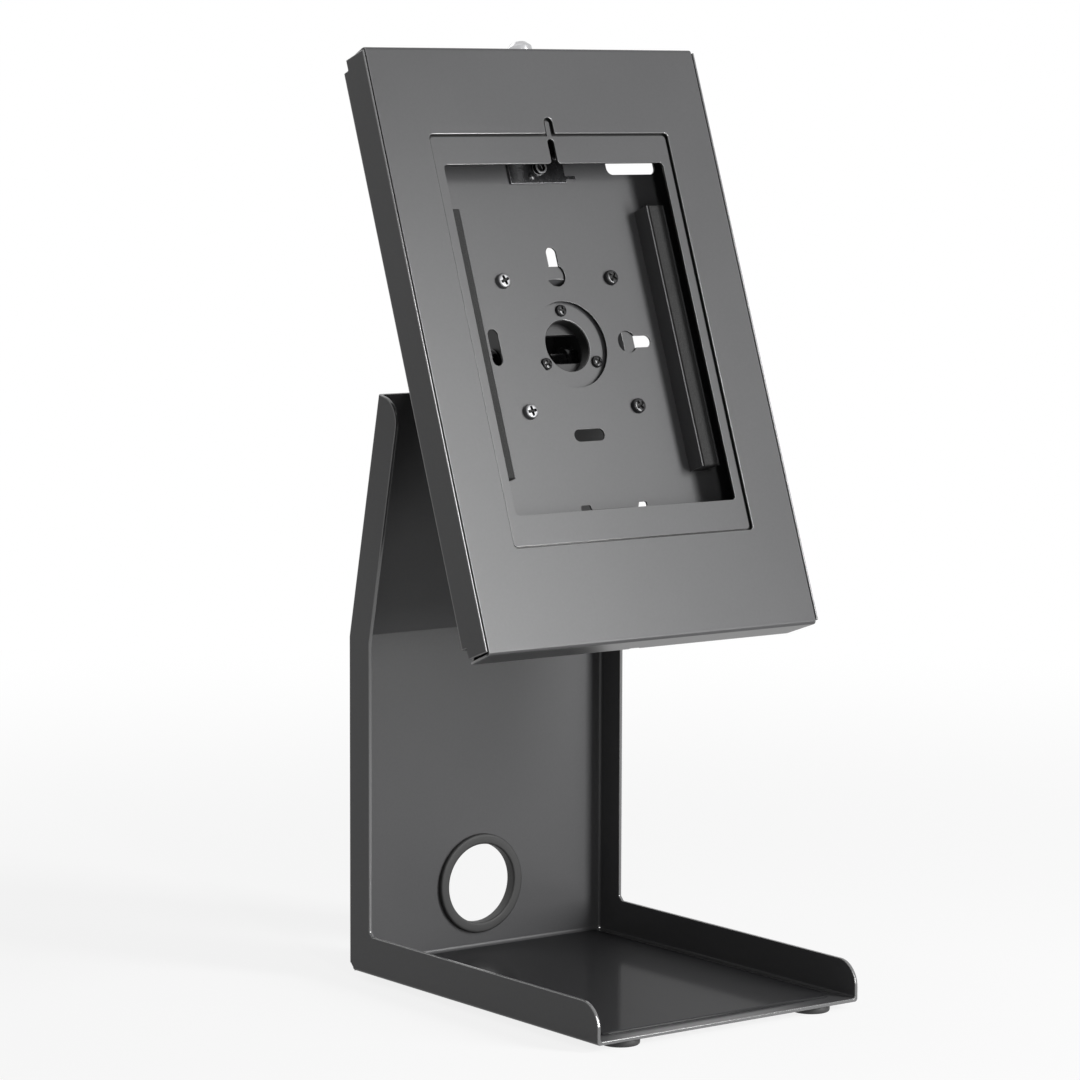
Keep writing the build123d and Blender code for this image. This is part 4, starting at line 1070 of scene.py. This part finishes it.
class COUNTERSTAND_OT_studio(Builder, bpy.types.Operator):
    """Plain pale floor, soft lights, white surroundings and the camera"""

    bl_idname = "counterstand.studio"
    bl_label = "Studio"

    def make(self):
        size = sizes()
        scene = bpy.context.scene
        half = size.floor_size / 2
        corners = [(-half, -half, 0), (half, -half, 0), (half, half, 0), (-half, half, 0)]
        mesh = bpy.data.meshes.new("studio_floor")
        mesh.from_pydata(corners, [], [(0, 1, 2, 3)])
        mesh.materials.append(self.floor_finish())
        floor = linked("studio_floor", mesh)

        self.light("key_light", (0.8, -1.4, 0.68), (0, 0, 0.3), (0.42, 1.3), size.key_light)
        self.light("edge_light", (-0.5, -1.5, 0.65), (0, 0, 0.5), (0.08, 1.4), size.edge_light)
        self.light("back_light", (-0.3, 1.7, 1.3), (0, 0, 0.3), (1.4, 1.4), size.back_light)
        self.light("fill_light", (-0.4, 0.2, 2.4), (0, 0, 0.2), (2.0, 2.0), size.fill_light)

        scene.world = bpy.data.worlds.new("studio_world")
        air = Nodes(scene.world)
        backdrop = air.tree.nodes["Background"]
        backdrop.inputs["Color"].default_value = (1, 1, 1, 1)
        level = size.air_light + (1 - size.air_light) * air.shown()
        air.join(level, backdrop.inputs["Strength"])

        lens = bpy.data.cameras.new("camera")
        lens.sensor_width = 36
        lens.lens = size.lens
        lens.clip_end = 50
        right = (0.801468, -0.598028, 0.003296)
        up = (0.063311, 0.090326, 0.993898)
        back = (-0.594677, -0.796369, 0.110255)
        spot = (-1.357742, -1.76315, 0.500743)
        scene.camera = linked("camera", lens)
        scene.camera.matrix_world = standing(right, up, back, spot)
        scene.view_settings.view_transform = "Standard"

    def light(self, name, spot, target, size, power):
        """A rectangular lamp at a spot that looks at a target, with its first side level."""
        lamp = bpy.data.lights.new(name, "AREA")
        lamp.shape = "RECTANGLE"
        lamp.size, lamp.size_y = size
        lamp.energy = power
        aim = np.array(spot, float) - np.array(target, float)
        aim /= np.linalg.norm(aim)
        side = np.cross((0, 0, 1), aim)
        side /= np.linalg.norm(side)
        linked(name, lamp).matrix_world = standing(side, np.cross(aim, side), aim, spot)

    def floor_finish(self):
        """White to the camera and to gloss.

        Far off all of it is white, and near the stand, where the shadow stays, most of it.
        """
        colour = looks().floor_colour
        ground = Finish("studio_floor", colour, 0.9)
        shown = ground.shown()
        length = {"operation": "LENGTH"}
        away = ground.node("ShaderNodeVectorMath", length, {0: ground.spot}, out="Value")
        near_share = 0.84
        share = near_share + (1 - near_share) * away.above(0.9, 0.55)
        ground.put("Base Color", ground.blend(shown, shade(colour, 0.5), shade(colour)))
        ground.put("Specular IOR Level", 0.0)
        glow = ground.node("ShaderNodeEmission", None, {"Strength": 1.0})
        ground.mixed(shown * share, ground.surface, glow)
        return ground.material


BUILDERS = (
    COUNTERSTAND_OT_bracket,
    COUNTERSTAND_OT_feet,
    COUNTERSTAND_OT_tray_sheet,
    COUNTERSTAND_OT_grommet,
    COUNTERSTAND_OT_hinge,
    COUNTERSTAND_OT_swivel,
    COUNTERSTAND_OT_housing,
    COUNTERSTAND_OT_lock_bracket,
    COUNTERSTAND_OT_cover,
    COUNTERSTAND_OT_lock,
    COUNTERSTAND_OT_studio,
)


class COUNTERSTAND_PT_panel(bpy.types.Panel):
    """Lists the makers of the stand's pieces and their sizes and colours"""

    bl_idname = "COUNTERSTAND_PT_panel"
    bl_label = "Counter Stand"
    bl_space_type = "VIEW_3D"
    bl_region_type = "UI"
    bl_category = "Counter Stand"

    def draw(self, context):
        for builder in BUILDERS:
            self.layout.operator(builder.bl_idname)
        for group in (context.scene.counter_stand_sizes, context.scene.counter_stand_looks):
            for name in group.bl_rna.properties.keys():
                if name not in ("rna_type", "name"):
                    self.layout.prop(group, name)


def register():
    """Adds the makers, the panel and the settings."""
    for kind in (CounterStandLooks, CounterStandSizes, *BUILDERS, COUNTERSTAND_PT_panel):
        bpy.utils.register_class(kind)
    bpy.types.Scene.counter_stand_looks = bpy.props.PointerProperty(type=CounterStandLooks)
    bpy.types.Scene.counter_stand_sizes = bpy.props.PointerProperty(type=CounterStandSizes)


def unregister():
    """Takes out what register adds."""
    del bpy.types.Scene.counter_stand_sizes
    del bpy.types.Scene.counter_stand_looks
    for kind in (COUNTERSTAND_PT_panel, *reversed(BUILDERS), CounterStandSizes, CounterStandLooks):
        bpy.utils.unregister_class(kind)


def main():
    """Makes every piece and the studio."""
    register()
    bpy.ops.counterstand.bracket()
    bpy.ops.counterstand.feet()
    bpy.ops.counterstand.tray_sheet()
    bpy.ops.counterstand.grommet()
    bpy.ops.counterstand.hinge()
    bpy.ops.counterstand.swivel()
    bpy.ops.counterstand.housing()
    bpy.ops.counterstand.lock_bracket()
    bpy.ops.counterstand.cover()
    bpy.ops.counterstand.lock()
    bpy.ops.counterstand.studio()


if __name__ == "__main__":
    main()
